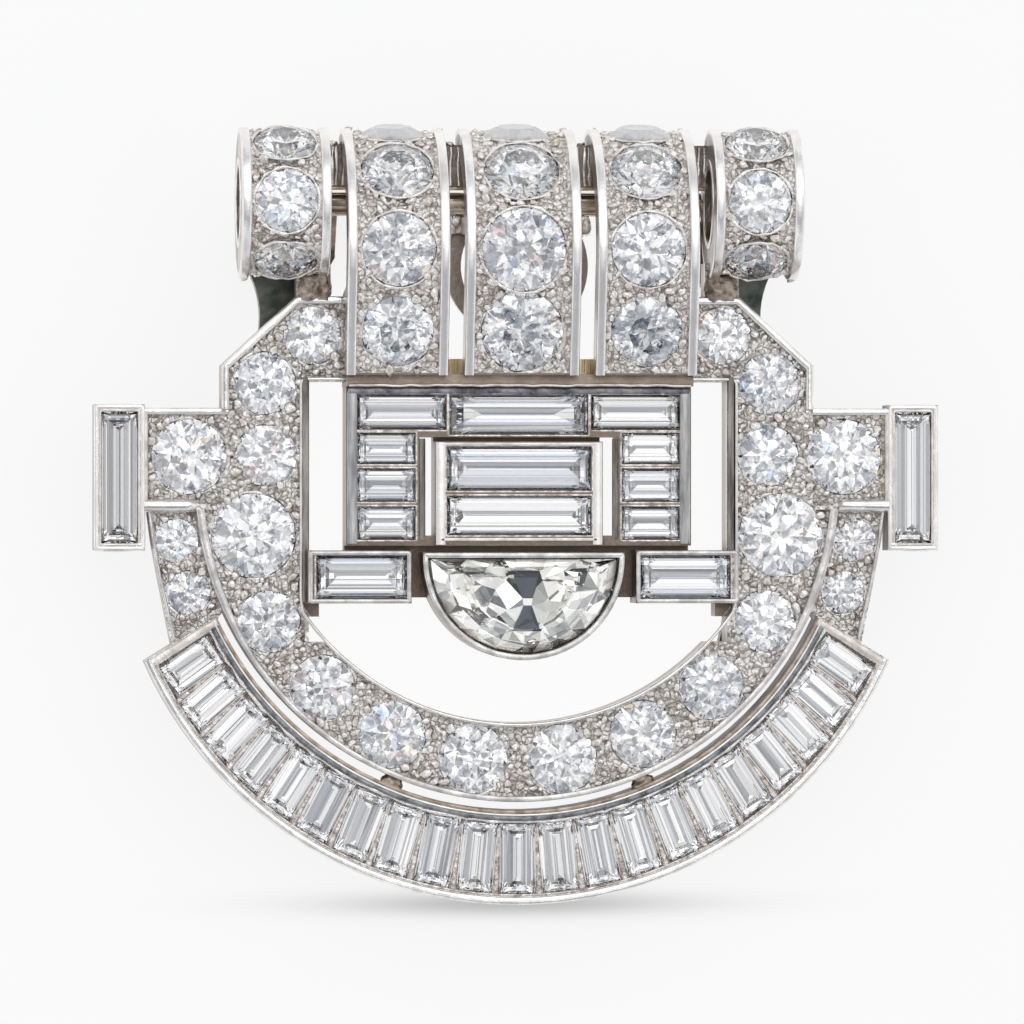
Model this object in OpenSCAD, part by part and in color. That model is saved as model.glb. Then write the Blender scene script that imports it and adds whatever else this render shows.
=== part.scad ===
// Openwork diamond clip brooch. It lies on its clip, face up: +X right, +Y to the scrolls, +Z out of the face.

/* [Levels] */
// Thickness of the clip's legs, which the brooch lies on
clip_t = 0.9; // [0.8:0.05:1.0]
// Height of the pierced plate's back
plate_back = 2.9; // [2.8:0.05:3.0]
// Height of the floor that the round stones are set in
floor_z = 5.05; // [5.0:0.01:5.1]
// Height of the polished rims round that floor
rim_z = 5.3; // [5.25:0.01:5.4]
// Height of the scrolls' front
scroll_front = 8.9; // [8.8:0.05:9.0]

/* [Frame] */
// Half of the frame's width at its upright edges
frame_half = 14.85; // [14.7:0.05:15.0]
// Height of the frame's top edge above the middle
frame_top = 10.85; // [10.8:0.05:10.9]
// Half of the straight top edge between the cut corners
frame_flat = 11.1; // [11.0:0.05:11.2]
// Where the cut corner meets the upright edge
frame_shoulder = 7.4; // [7.3:0.05:7.5]
// Half of the frame's opening
window_half = 10.5; // [10.45:0.05:10.55]
// Height of the opening's top edge
window_top = 6.6; // [6.55:0.05:6.65]
// Radius of the round band's outer edge
band_outer = 16.2; // [16.15:0.05:16.25]
// Height of the centre of that edge
band_outer_y = 1.775; // [1.75:0.025:1.8]
// Radius of the round band's inner edge
band_inner = 13.05; // [13.0:0.05:13.1]
// Height of the centre of that edge
band_inner_y = 2.575; // [2.55:0.025:2.6]
// Width of the polished rims
rim_w = 0.2; // [0.18:0.01:0.22]

/* [Wings] */
// Half of the whole width, over the upright baguettes
wing_half = 21.2; // [21.1:0.05:21.3]
// Width of the box round an upright baguette
wing_box_w = 2.55; // [2.45:0.05:2.6]
// Height of that box's top
wing_box_top = 5.45; // [5.4:0.05:5.5]
// Height of that box's bottom
wing_box_bottom = -1.85; // [-1.9:0.05:-1.8]
// Height of the wing's top edge
wing_top = 5.28; // [5.25:0.01:5.3]
// Height of the wing's bottom edge
wing_bottom = 0.1; // [0.05:0.05:0.15]
// How far the wings and side strips lie below the frame
wing_drop = 0.25; // [0.2:0.05:0.3]

/* [Arc] */
// Radius of the arc's outer edge
arc_outer = 20.42; // [20.35:0.05:20.5]
// Height of the centre of that edge
arc_outer_y = 0.85; // [0.8:0.05:0.9]
// Radius of the arc's inner edge
arc_inner = 16.6; // [16.55:0.05:16.65]
// Height of the centre of that edge
arc_inner_y = 1.75; // [1.7:0.05:1.8]
// Number of baguettes in the arc
arc_count = 21; // [19:1:22]
// Height of the point that the arc's baguettes fan out from
fan_y = 4.1; // [4.0:0.05:4.2]
// Half of the angle that the arc spans, seen from that point
fan_half = 58.5; // [58:0.1:59]

/* [Panel] */
// Half of the stepped panel's width
panel_half = 8.65; // [8.6:0.05:8.7]
// Height of the panel's top edge
panel_top = 6.4; // [6.35:0.05:6.45]
// Height of the panel's bottom edge
panel_bottom = -1.6; // [-1.65:0.05:-1.55]
// Height of the panel's rims above the back plane
panel_z = 5.6; // [5.55:0.05:5.65]
// Width of the slots beside the middle block
slot_w = 0.8; // [0.7:0.01:0.8]
// Radius of the half-moon diamond
moon_r = 4.75; // [4.7:0.05:4.8]
// Height of its straight side
moon_y = -2.25; // [-2.3:0.05:-2.2]
// How far the lower row stands above the panel
lower_raise = 0.6; // [0.5:0.05:0.7]
// How far the lower row is set to the right of the middle line
lower_shift = 0.2; // [0:0.05:0.25]

/* [Scrolls] */
// Radius of the straps' curl over the top
curl_r = 6.0; // [5.95:0.05:6.05]
// Height of the curl's centre above the middle
curl_y = 13.3; // [13.25:0.05:13.35]
// Slope of the straps' straight lower part
strap_slope = 15; // [14:0.5:16]
// Height of the straps' lower ends above the middle
strap_end = 6.9; // [6.85:0.05:6.95]
// Thickness of the straps
strap_t = 1.5; // [1.4:0.05:1.6]
// Radius of the end rolls
roll_r = 3.75; // [3.7:0.05:3.8]
// Height of the end rolls' centres above the middle
roll_y = 15.5; // [15.45:0.05:15.55]
// Radius of the bore through the end rolls
roll_bore = 1.9; // [1.7:0.05:1.95]
// Width of the scrolls' polished side rims
side_rim = 0.45; // [0.4:0.05:0.5]
// How far the scrolls' set floor lies below those rims
side_rim_h = 0.2; // [0.15:0.05:0.25]

/* [Clip] */
// Height of the hinge's axis above the middle
hinge_y = 15.55; // [15.5:0.05:15.6]
// Height of the hinge's axis above the legs' underside
hinge_z = 2.6; // [2.5:0.05:2.7]
// Radius of the hinge's pin
pin_r = 0.3; // [0.28:0.01:0.32]
// Radius of the hinge's tube
tube_r = 0.6; // [0.55:0.01:0.62]
// Room between the pin and the tube
pin_gap = 0.04; // [0.03:0.01:0.06]

/* [Stones] */
// Crown height of a round diamond, as a share of its diameter
crown_share = 0.15; // [0.13:0.01:0.16]
// Depth below the girdle of a round diamond, as a share of its diameter
pavilion_share = 0.43; // [0.41:0.01:0.44]
// Table of a round diamond, as a share of its diameter
table_share = 0.55; // [0.52:0.01:0.6]
// Room left round a stone in its seat
seat_gap = 0.04; // [0.03:0.01:0.05]

/* [Hidden] */
$fn = 96;
eps = 0.01;
through = 8;
far = 40;
platinum = "silver";
diamond = "aliceblue";
gold = "goldenrod";
white_gold = "lightgray";

// Round stones of one side: name, distance from the middle line, height above the middle, diameter, drop
SIDE_ROUNDS = [
    ["frame_round_1", 10.3, 8.9, 2.9, 0],
    ["frame_round_2", 12.7, 6.5, 3.15, 0],
    ["frame_round_3", 12.6, 2.9, 3.1, 0],
    ["frame_round_4", 13.25, -1.1, 4.25, 0],
    ["frame_round_5", 12.48, -5.4, 3.15, 0],
    ["frame_round_6", 9.77, -8.7, 3.3, 0],
    ["frame_round_7", 6.3, -11.05, 3.4, 0],
    ["frame_round_8", 2.23, -12.28, 3.5, 0],
    ["wing_round", 16.45, 2.85, 3.8, wing_drop],
    ["strip_round_upper", 17.05, -1.35, 2.2, wing_drop * 2],
    ["strip_round_lower", 16.45, -3.95, 2.2, wing_drop * 2],
];
NAME = 0;
ACROSS = 1;
UP = 2;
SIZE = 3;
DROP = 4;
SIDES = [["left", -1], ["right", 1]];

// Straight-sided baguettes set one by one: name, middle across, middle up, length, width, turn,
// drop below the panel's level
raised = -lower_raise;
SINGLE_BAGUETTES = [
    ["top_baguette_left", -5.87, 5.07, 4.45, 1.7, 0, 0],
    ["top_baguette_right", 5.87, 5.07, 4.45, 1.7, 0, 0],
    ["block_baguette_upper", 0, 2.25, 7.2, 2.15, 0, -0.25],
    ["block_baguette_lower", 0, -0.1, 7.2, 1.9, 0, -0.25],
    ["flank_baguette_left", lower_shift - 8.1, -3.17, 4.5, 2.1, 0, raised],
    ["flank_baguette_right", lower_shift + 8.1, -3.17, 4.5, 2.1, 0, raised],
    ["wing_baguette_left", -(wing_half - wing_box_w / 2), 1.8, 6.6, 1.95, 90, 0.45],
    ["wing_baguette_right", wing_half - wing_box_w / 2, 1.8, 6.6, 1.95, 90, 0.45],
];
LENGTH = 3;
WIDTH = 4;
TURN = 5;
LOWER = 6;

// The long stone with slanted ends in the middle of the top row
TOP_MIDDLE = ["top_baguette_middle", 0, 4.95, 6.9, 1.95, 0, 0];

// Short baguettes of the panel's two columns, from the top: height above the middle, width
column_x = 6.63;
column_l = 2.85;
COLUMN = [[3.25, 1.5], [1.42, 1.6], [-0.48, 1.6]];

// Scrolls: name of the stones' node, middle across, half width, is it a strap, stones' diameters from the top
SCROLLS = [
    ["scroll_stones_1", -11.79, 2.2, false, [3.15, 3.15, 3.15]],
    ["scroll_stones_2", -6.22, 2.525, true, [3.4, 3.6, 3.7, 3.6]],
    ["scroll_stones_3", 0, 2.85, true, [3.5, 3.75, 4.2, 4.1]],
    ["scroll_stones_4", 6.22, 2.525, true, [3.4, 3.6, 3.7, 3.6]],
    ["scroll_stones_5", 11.79, 2.2, false, [3.15, 3.15, 3.15]],
];
HALF = 2;
IS_STRAP = 3;
STONES = 4;
roll_turns = [57, 0, -57];
strap_turns = [79, 41, -2];
last_stone_y = 9.05;

// Heights worked out from the levels above
girdle_sink = 0.1;
curl_z = scroll_front - curl_r;
roll_z = scroll_front - roll_r;
girdle_share = 0.03;
panel_girdle = panel_z - 0.25;
arc_girdle = floor_z - girdle_sink;

// Cut stones, each with its girdle's top at z = 0

function ring_points(r, z, n, start) = [
    for (i = [0:n - 1]) [r * cos(start + i * 360 / n), r * sin(start + i * 360 / n), z]
];

// Brilliant cut: table, stars, kites, upper girdle facets, girdle, lower girdle facets and mains.
// The stones are turned by their number, and it also changes the table a little.
module brilliant(d, number = 0) {
    r = d / 2;
    table_spread = 0.03;
    table_r = r * (table_share + table_spread * sin(number * 67));
    crown = d * crown_share;
    girdle = d * girdle_share;
    pavilion = d * pavilion_share;
    half_step = 22.5;
    star_r = (table_r + r) / 2 / cos(half_step);
    star_z = crown * (r - star_r * cos(half_step)) / (r - table_r);
    lower_r = 0.3 * r;
    lower_z = -girdle - pavilion * (1 - lower_r * cos(half_step) / r);
    points = concat(
        ring_points(table_r, crown, 8, 0),
        ring_points(star_r, star_z, 8, half_step),
        ring_points(r, 0, 16, 0),
        ring_points(r, -girdle, 16, 0),
        ring_points(lower_r, lower_z, 8, half_step),
        [[0, 0, -girdle - pavilion]]
    );
    t = 0;
    s = 8;
    g = 16;
    b = 32;
    l = 48;
    culet = 56;
    faces = concat(
        [[for (i = [7:-1:0]) t + i]],
        [for (i = [0:7]) [t + i, t + (i + 1) % 8, s + i]],
        [for (i = [0:7]) [t + i, s + i, g + 2 * i, s + (i + 7) % 8]],
        [for (i = [0:7]) [s + i, g + 2 * i + 1, g + 2 * i]],
        [for (i = [0:7]) [s + i, g + (2 * i + 2) % 16, g + 2 * i + 1]],
        [for (i = [0:15]) [g + i, g + (i + 1) % 16, b + (i + 1) % 16, b + i]],
        [for (i = [0:7]) [l + i, b + 2 * i, b + 2 * i + 1]],
        [for (i = [0:7]) [l + i, b + 2 * i + 1, b + (2 * i + 2) % 16]],
        [for (i = [0:7]) [culet, l + (i + 7) % 8, b + 2 * i, l + i]]
    );
    turn_step = 19;
    rotate([0, 0, number * turn_step]) polyhedron(points, faces);
}

function rectangle(l, w, z) = [
    [-l / 2, -w / 2, z], [l / 2, -w / 2, z], [l / 2, w / 2, z], [-l / 2, w / 2, z]
];

function step_faces(upper, lower) = [
    for (i = [0:3]) [upper + i, upper + (i + 1) % 4, lower + (i + 1) % 4, lower + i]
];

// Step cut: table, two crown steps, girdle and three pavilion steps down to a keel.
// A slant draws the top face's ends in.
module step_cut(l, w, slant = 0) {
    crown = 0.11 * w;
    girdle = 0.03 * w;
    pavilion = 0.53 * w;
    inset = [0.34 * w, 0.16 * w];
    lower_inset = [0.16 * w, 0.44 * w];
    lower_share = [0.23, 0.53];
    keel = l / 2 - w * 0.5 - slant;
    points = concat(
        rectangle(l - inset[0] - slant, w - inset[0], crown),
        rectangle(l - inset[1] - slant / 2, w - inset[1], crown * 0.62),
        rectangle(l, w, 0),
        rectangle(l, w, -girdle),
        rectangle(l - lower_inset[0], w - lower_inset[0], -girdle - pavilion * lower_share[0]),
        rectangle(l - lower_inset[1], w - lower_inset[1], -girdle - pavilion * lower_share[1]),
        [[-keel, 0, -girdle - pavilion], [keel, 0, -girdle - pavilion]]
    );
    faces = concat(
        [[3, 2, 1, 0]],
        step_faces(0, 4),
        step_faces(4, 8),
        step_faces(8, 12),
        step_faces(12, 16),
        step_faces(16, 20),
        [[20, 21, 25, 24], [21, 22, 25], [22, 23, 24, 25], [23, 20, 24]]
    );
    polyhedron(points, faces);
}

// Outline of a half-moon of radius r with its flat side up, drawn about the point that its facets run to
function moon_ring(r, share, z, n) = let (middle = -0.42 * r) concat(
    [for (i = [0:n]) [
        share * r * cos(180 + i * 180 / n),
        middle + share * (r * sin(180 + i * 180 / n) - middle),
        z
    ]]
);

function moon_band(upper, lower, n) = [
    for (i = [0:n - 1]) [upper + i, upper + (i + 1) % n, lower + (i + 1) % n, lower + i]
];

module half_moon_cut(r) {
    arc_steps = 10;
    n = arc_steps + 1;
    crown = 0.16 * r;
    girdle = 0.04 * r;
    pavilion = 0.5 * r;
    points = concat(
        moon_ring(r, 0.56, crown, arc_steps),
        moon_ring(r, 0.8, crown * 0.6, arc_steps),
        moon_ring(r, 1, 0, arc_steps),
        moon_ring(r, 1, -girdle, arc_steps),
        moon_ring(r, 0.5, -girdle - pavilion * 0.54, arc_steps),
        [[0, -0.42 * r, -girdle - pavilion]]
    );
    faces = concat(
        [[for (i = [n - 1:-1:0]) i]],
        moon_band(0, n, n),
        moon_band(n, 2 * n, n),
        moon_band(2 * n, 3 * n, n),
        moon_band(3 * n, 4 * n, n),
        [for (i = [0:n - 1]) [4 * n + i, 4 * n + (i + 1) % n, 5 * n]]
    );
    polyhedron(points, faces);
}

// Seats that the stones sit in, cut right through the metal

module round_seat(d, depth, above = 1.2) {
    r = d / 2;
    hole = 0.26 * d;
    rest = girdle_share * d + 0.06;
    narrow = rest + d * pavilion_share * (1 - hole / r);
    rotate_extrude() polygon([
        [0, -depth], [hole, -depth], [hole, -narrow], [r + seat_gap, -rest], [r + seat_gap, above], [0, above]
    ]);
}

// The wider mouth that such a seat has in the plate's back
module back_mouth(d, sink) {
    back = plate_back - floor_z + girdle_sink + sink;
    mouth_h = 0.7;
    rotate_extrude() polygon([
        [0, back - 1], [0.42 * d, back - 1], [0.42 * d, back], [0.2 * d, back + mouth_h], [0, back + mouth_h]
    ]);
}

module pocket(l, w, above = 1) {
    ledge = 0.3;
    rest = 0.5;
    translate([-l / 2 - seat_gap, -w / 2 - seat_gap, -rest])
        cube([l + 2 * seat_gap, w + 2 * seat_gap, rest + above]);
    translate([-l / 2 + ledge, -w / 2 + ledge, -through])
        cube([l - 2 * ledge, w - 2 * ledge, through]);
}

// Where the stones lie

module at_round(side, s) {
    translate([side[1] * s[ACROSS], s[UP], floor_z - girdle_sink - s[DROP]]) children();
}

module at_baguette(b) {
    translate([b[ACROSS], b[UP], panel_girdle - b[LOWER]]) rotate([0, 0, b[TURN]]) children();
}

// A point at height h above a scroll's set floor, where its surface is turned by an angle from facing front
function roll_point(turn, h) = [
    roll_y + (roll_r - side_rim_h + h) * sin(turn),
    roll_z + (roll_r - side_rim_h + h) * cos(turn)
];
function curl_point(turn, h) = [
    curl_y + (curl_r - side_rim_h + h) * sin(turn),
    curl_z + (curl_r - side_rim_h + h) * cos(turn)
];
function slope_point(y, h) = let (start = curl_point(-strap_slope, h)) [
    y, start[1] - (start[0] - y) * tan(strap_slope)
];

// Turn and place of each stone of a scroll
function scroll_seats(s) = s[IS_STRAP]
    ? concat(
        [for (turn = strap_turns) [turn, curl_point(turn, -girdle_sink)]],
        [[-strap_slope, slope_point(last_stone_y, -girdle_sink)]]
    )
    : [for (turn = roll_turns) [turn, roll_point(turn, -girdle_sink)]];

module at_scroll_seat(s, i) {
    seat = scroll_seats(s)[i];
    translate([s[ACROSS], seat[1][0], seat[1][1]]) rotate([-seat[0], 0, 0]) children();
}

// Distance from the fan's point to an arc of radius r round height y, at an angle from straight down
function fan_reach(angle, r, y) = let (c = fan_y - y) c * cos(angle) + sqrt(r * r - pow(c * sin(angle), 2));

arc_wall_out = 0.42;
arc_wall_in = 0.55;
arc_end_wall = 1.35;
fan_pitch = 2 * (fan_half - arc_end_wall) / arc_count;
arc_stone_gap = 0.11;

// Inner end, outer end and width of one baguette of the arc
function arc_stone(angle) =
    let (
        near = fan_reach(angle, arc_inner + arc_wall_in, arc_inner_y),
        far = fan_reach(angle, arc_outer - arc_wall_out, arc_outer_y),
        w = 2 * near * sin(fan_pitch / 2) - arc_stone_gap,
        skew = w / 2 * (fan_y - arc_outer_y) * abs(sin(angle)) / arc_outer
    ) [near + 0.07 + skew, far - 0.07 - skew, w];

// Flat outlines of the frame

module frame_roof(e) {
    bottom = band_outer_y - 2;
    slope = [frame_shoulder - frame_top, frame_flat - frame_half];
    run = norm(slope);
    nx = -slope[0] / run;
    ny = -slope[1] / run;
    reach = nx * frame_flat + ny * frame_top - e;
    w = frame_half - e;
    top = frame_top - e;
    shoulder = (reach - nx * w) / ny;
    flat = (reach - ny * top) / nx;
    polygon([
        [-w, bottom], [w, bottom], [w, shoulder], [flat, top], [-flat, top], [-w, shoulder]
    ]);
}

// The horseshoe, its outer edges drawn in by e and its inner ones moved out by e
module frame_outline(e) {
    round_top = wing_bottom + 0.3;
    difference() {
        union() {
            frame_roof(e);
            intersection() {
                translate([0, band_outer_y]) circle(band_outer - e);
                translate([-far, -far]) square([2 * far, far + round_top - e]);
            }
        }
        frame_opening(e);
    }
}

module frame_opening(e) {
    half = window_half + e;
    bottom = band_inner_y - 9;
    translate([-half, bottom]) square([2 * half, window_top + e - bottom]);
    // Below the flanks the opening is a little wider
    low_half = half + 0.3;
    low_top = -4.5;
    intersection() {
        translate([0, band_inner_y]) circle(band_inner + e);
        translate([-low_half, -far]) square([2 * low_half, far + low_top]);
    }
    // The frame's top is left out behind the straps
    strap_room = 8.5;
    translate([-strap_room, 0]) square([2 * strap_room, frame_top + 1]);
}

module wing_outline(e) {
    inner = frame_half - 1.5;
    outer = wing_half - wing_box_w + 0.2;
    for (side = [-1, 1])
        translate([side > 0 ? inner : -outer, wing_bottom + 2 * e])
            square([outer - inner, wing_top - wing_bottom - 3.5 * e]);
}

module strip_outline(e) {
    tip_rise = 3 * e;
    for (m = [0, 1]) mirror([m, 0])
        polygon([
            [15.4, 0.3], [18.55 - e, 0.3], [18.33 - e, -1.4], [18.0 - e, -3.2],
            [17.3 - e, -6.7 + tip_rise], [15.1 + e, -5.4 + tip_rise], [14.6, -4.6], [15.7, -2]
        ]);
}

module fan_wedge(half) {
    polygon([[0, fan_y], [far * sin(half), fan_y - far * cos(half)], [0, fan_y - far],
             [-far * sin(half), fan_y - far * cos(half)]]);
}

// The strip between the arc's two edges, drawn in by a wall at each edge and at the ends
module arc_outline(wall_out, wall_in, half) {
    intersection() {
        difference() {
            translate([0, arc_outer_y]) circle(arc_outer - wall_out);
            translate([0, arc_inner_y]) circle(arc_inner + wall_in);
        }
        fan_wedge(half);
    }
}

// Metal parts that are soldered into the mount

module slab(bottom, top) {
    translate([0, 0, bottom]) linear_extrude(top - bottom) children();
}

module frame_plate() {
    difference() {
        slab(plate_back, rim_z) frame_outline(0);
        slab(floor_z, rim_z + 1) frame_outline(rim_w);
        slab(floor_z, rim_z + 1) intersection() {
            wing_outline(rim_w);
            translate([-frame_half - 0.5, 0]) square([2 * frame_half + 1, 10]);
        }
    }
}

module wings() {
    box_x = wing_half - wing_box_w;
    difference() {
        slab(plate_back, rim_z - wing_drop) wing_outline(0);
        slab(floor_z - wing_drop, rim_z) wing_outline(rim_w);
    }
    for (m = [0, 1]) mirror([m, 0, 0])
        translate([box_x, wing_box_bottom, plate_back])
            cube([wing_box_w, wing_box_top - wing_box_bottom, rim_z - 0.2 - plate_back]);
    // The polished bar under each wing
    bar_r = 0.3;
    bar_start = 16.1;
    for (m = [0, 1]) mirror([m, 0, 0])
        translate([bar_start, wing_bottom + bar_r, rim_z - wing_drop - 0.1]) rotate([0, 90, 0])
            cylinder(r = bar_r, h = box_x - bar_start + eps);
}

module side_strips() {
    strip_rim = 0.18;
    difference() {
        slab(plate_back, rim_z - 2 * wing_drop) strip_outline(0);
        slab(floor_z - 2 * wing_drop, rim_z) strip_outline(strip_rim);
    }
}

module arc_channel() {
    trough = arc_girdle - 0.5;
    ledge = 0.35;
    end_ledge = 0.8;
    difference() {
        slab(plate_back, rim_z) arc_outline(0, 0, fan_half);
        slab(trough, rim_z + 1) arc_outline(arc_wall_out, arc_wall_in, fan_half - arc_end_wall);
        slab(0, rim_z)
            arc_outline(arc_wall_out + ledge, arc_wall_in + ledge, fan_half - arc_end_wall - end_ledge);
    }
    // Two small bridges hold the arc to the frame
    bridge = [0.7, 1, 1.7];
    bridge_turn = 22.5;
    for (side = [-1, 1])
        translate([0, arc_inner_y, plate_back]) rotate([0, 0, side * bridge_turn])
            translate([-bridge[0] / 2, -arc_inner - 0.3, 0]) cube(bridge);
}

block_half = 4.19;
block_top = 3.6;
block_raise = 0.25;
groove_w = 0.22;

module panel() {
    slot_bottom = panel_bottom + 0.5;
    slot_top = block_top + groove_w;
    groove_half = block_half + 0.1;
    groove_floor = plate_back + 1.3;
    difference() {
        union() {
            translate([-panel_half, panel_bottom, plate_back])
                cube([2 * panel_half, panel_top - panel_bottom, panel_z - plate_back]);
            translate([-block_half, panel_bottom, plate_back])
                cube([2 * block_half, block_top - panel_bottom, panel_z + block_raise - plate_back]);
        }
        for (side = [-1, 1])
            translate([side > 0 ? block_half : -block_half - slot_w, slot_bottom, 0])
                cube([slot_w, slot_top - slot_bottom, through]);
        // The groove between the top row and the middle block
        translate([-groove_half, block_top, groove_floor]) cube([2 * groove_half, groove_w, through]);
    }
    // The recessed base that joins the panel, the lower row and the frame
    base_top = -1.2;
    base_bottom = -4.2;
    arm_top = -2;
    arm_half = window_half + 0.1;
    translate([-panel_half, base_bottom, plate_back])
        cube([2 * panel_half, base_top - base_bottom, groove_floor - plate_back]);
    translate([-arm_half, base_bottom, plate_back])
        cube([2 * arm_half, arm_top - base_bottom, groove_floor - plate_back]);
}

module lower_row() {
    bezel_w = 0.32;
    back = plate_back + 0.3;
    top = panel_z + lower_raise;
    flank_x = 8.2;
    flank_bottom = -4.48;
    flank = [5.16, 2.64, top - back];
    for (side = [-1, 1])
        translate([lower_shift + side * flank_x - flank[0] / 2, flank_bottom, back]) cube(flank);
    slab(back, top) half_disc(moon_r + bezel_w, moon_y + bezel_w);
    // The small posts under the flanks
    post_x = 10.35;
    post_bottom = -5.15;
    post = [0.8, 0.95, 1.8];
    for (side = [-1, 1])
        translate([side * post_x - post[0] / 2, post_bottom, plate_back]) cube(post);
}

// A disc round the half-moon's middle, cut off straight at a height
module half_disc(r, top) {
    intersection() {
        translate([lower_shift, moon_y]) circle(r);
        translate([-far, -far]) square([2 * far, far + top]);
    }
}

// Side view of a strap, its outer face h above the set floor: across is +Y and up is +Z. The straight part
// lies a hair under the curl's face, so that the two cross.
module strap_side(h) {
    hair = 0.01;
    under = side_rim_h - strap_t - 0.1;
    curl_start = -strap_slope - 10;
    curl_end = 105;
    polygon([
        lead_point(h - hair), lead_point(under), slope_point(strap_end, under), slope_point(strap_end, h - hair)
    ]);
    translate([curl_y, curl_z]) intersection() {
        difference() {
            circle(curl_r - side_rim_h + h);
            circle(curl_r - strap_t);
        }
        polygon([
            [0, 0],
            [far * sin(curl_start), far * cos(curl_start)],
            [far * sin(45), far * cos(45)],
            [far * sin(curl_end), far * cos(curl_end)]
        ]);
    }
}

// Where the straight part starts inside the curl, at height h over the set floor
function lead_point(h) =
    let (lead = 3, r = (curl_r - side_rim_h + h) / cos(lead), turn = lead - strap_slope)
    [curl_y + r * sin(turn), curl_z + r * cos(turn)];

module roll_side(h) {
    translate([roll_y, roll_z]) difference() {
        circle(roll_r - side_rim_h + h);
        circle(roll_bore);
    }
}

// Draws a side view out along X, from one distance to another
module along_x(from, to) {
    translate([from, 0, 0]) rotate([90, 0, 90]) linear_extrude(to - from) children();
}

module scroll_side(s, h) {
    if (s[IS_STRAP])
        strap_side(h);
    else
        roll_side(h);
}

module scroll(s) {
    low = s[ACROSS] - s[HALF];
    high = s[ACROSS] + s[HALF];
    along_x(low, high) scroll_side(s, 0);
    along_x(low, low + side_rim) scroll_side(s, side_rim_h);
    along_x(high - side_rim, high) scroll_side(s, side_rim_h);
}

// What carries the scrolls: the bar across the back, the wall over the panel, the outer skirts and the necks
module scroll_supports() {
    bar = [19.4, 2.2, 0.9];
    bar_bottom = 16.3;
    bar_back = 2.7;
    translate([-bar[0] / 2, bar_bottom, bar_back]) cube(bar);
    wall_half = 8.68;
    wall_bottom = 6.35;
    translate([-wall_half, wall_bottom, plate_back]) cube([2 * wall_half, 0.6, 3.6]);
    skirt_w = 0.38;
    skirt_z = 5.4;
    for (side = [-1, 1])
        along_x(side > 0 ? wall_half - skirt_w : -wall_half, side > 0 ? wall_half : -wall_half + skirt_w)
            polygon([
                [wall_bottom, plate_back], [frame_top, plate_back], [frame_top + 0.4, skirt_z],
                slope_point(frame_top + 0.8, -0.5), slope_point(strap_end, -0.5), [wall_bottom, skirt_z]
            ]);
    neck = [1.7, 2.1, 2];
    neck_x = 10.25;
    for (side = [-1, 1])
        translate([side * neck_x - neck[0] / 2, frame_top - 0.4, plate_back + 0.3]) cube(neck);
}

// The round loop behind the middle scroll and the two posts that carry it
module back_loop() {
    loop_y = 12.4;
    loop_out = 3.6;
    loop_in = 2.8;
    loop_z = 3.6;
    translate([0, loop_y, loop_z]) linear_extrude(0.6) difference() {
        circle(loop_out);
        circle(loop_in);
    }
    post = [0.4, 0.85, 4.1];
    post_x = 2.62;
    post_y = 13.95;
    for (side = [-1, 1])
        translate([side * post_x - post[0] / 2, post_y, loop_z]) cube(post);
}

module pin_holes() {
    reach = 10.45;
    for (side = [-1, 1])
        translate([side > 0 ? web_out : -reach, hinge_y, hinge_z]) rotate([0, 90, 0])
            cylinder(r = pin_r + eps, h = reach - web_out);
}

module mount() {
    color(platinum) difference() {
        union() {
            frame_plate();
            wings();
            side_strips();
            arc_channel();
            panel();
            lower_row();
            for (s = SCROLLS) scroll(s);
            scroll_supports();
            back_loop();
        }
        for (side = SIDES) for (s = SIDE_ROUNDS) at_round(side, s) {
            round_seat(s[SIZE], through);
            back_mouth(s[SIZE], s[DROP]);
        }
        for (b = SINGLE_BAGUETTES) at_baguette(b) pocket(b[LENGTH], b[WIDTH]);
        at_baguette(TOP_MIDDLE) pocket(TOP_MIDDLE[LENGTH], TOP_MIDDLE[WIDTH]);
        for (side = SIDES) for (c = COLUMN)
            translate([side[1] * column_x, c[0], panel_girdle]) pocket(column_l, c[1]);
        for (s = SCROLLS) for (i = [0:len(s[STONES]) - 1])
            at_scroll_seat(s, i) round_seat(s[STONES][i], s[IS_STRAP] ? 2.3 : 2.2);
        moon_seat();
        pin_holes();
    }
}

module moon_seat() {
    ledge = 0.6;
    top = panel_girdle + lower_raise;
    rest = 1.15;
    slab(top - rest, top + 1) half_disc(moon_r + seat_gap, moon_y + seat_gap);
    slab(0, top) half_disc(moon_r - ledge, moon_y - ledge);
}

// The pale gold rail seen behind the straps' lower ends
module gold_rail() {
    rail = [16.5, 0.75, 1];
    rail_y = 7;
    rail_back = 3.3;
    color(gold) translate([-rail[0] / 2, rail_y, rail_back]) cube(rail);
}

web_in = 8.9;
web_out = 9.4;
leg_top = 14.8;

// The clip: a tube on the hinge's pin, two webs beside the outer straps and two flat legs behind the frame
module clip() {
    tube_half = web_out + 0.05;
    web_foot = 13.1;
    // The webs' back edge stays clear of the bar when the clip is open
    web_back = hinge_y + 0.2;
    color(white_gold) difference() {
        union() {
            translate([-tube_half, hinge_y, hinge_z]) rotate([0, 90, 0])
                cylinder(r = tube_r, h = 2 * tube_half);
            for (m = [0, 1]) mirror([m, 0, 0]) {
                along_x(web_in, web_out)
                    polygon([
                        [web_back, hinge_z], [hinge_y - 0.5, hinge_z], [web_foot, clip_t],
                        [web_foot, 0], [leg_top, 0], [web_back, hinge_z - 1.2]
                    ]);
                slab(0, clip_t) clip_leg();
            }
        }
        translate([-tube_half - 1, hinge_y, hinge_z]) rotate([0, 90, 0])
            cylinder(r = pin_r + pin_gap, h = 2 * tube_half + 2);
    }
}

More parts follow.
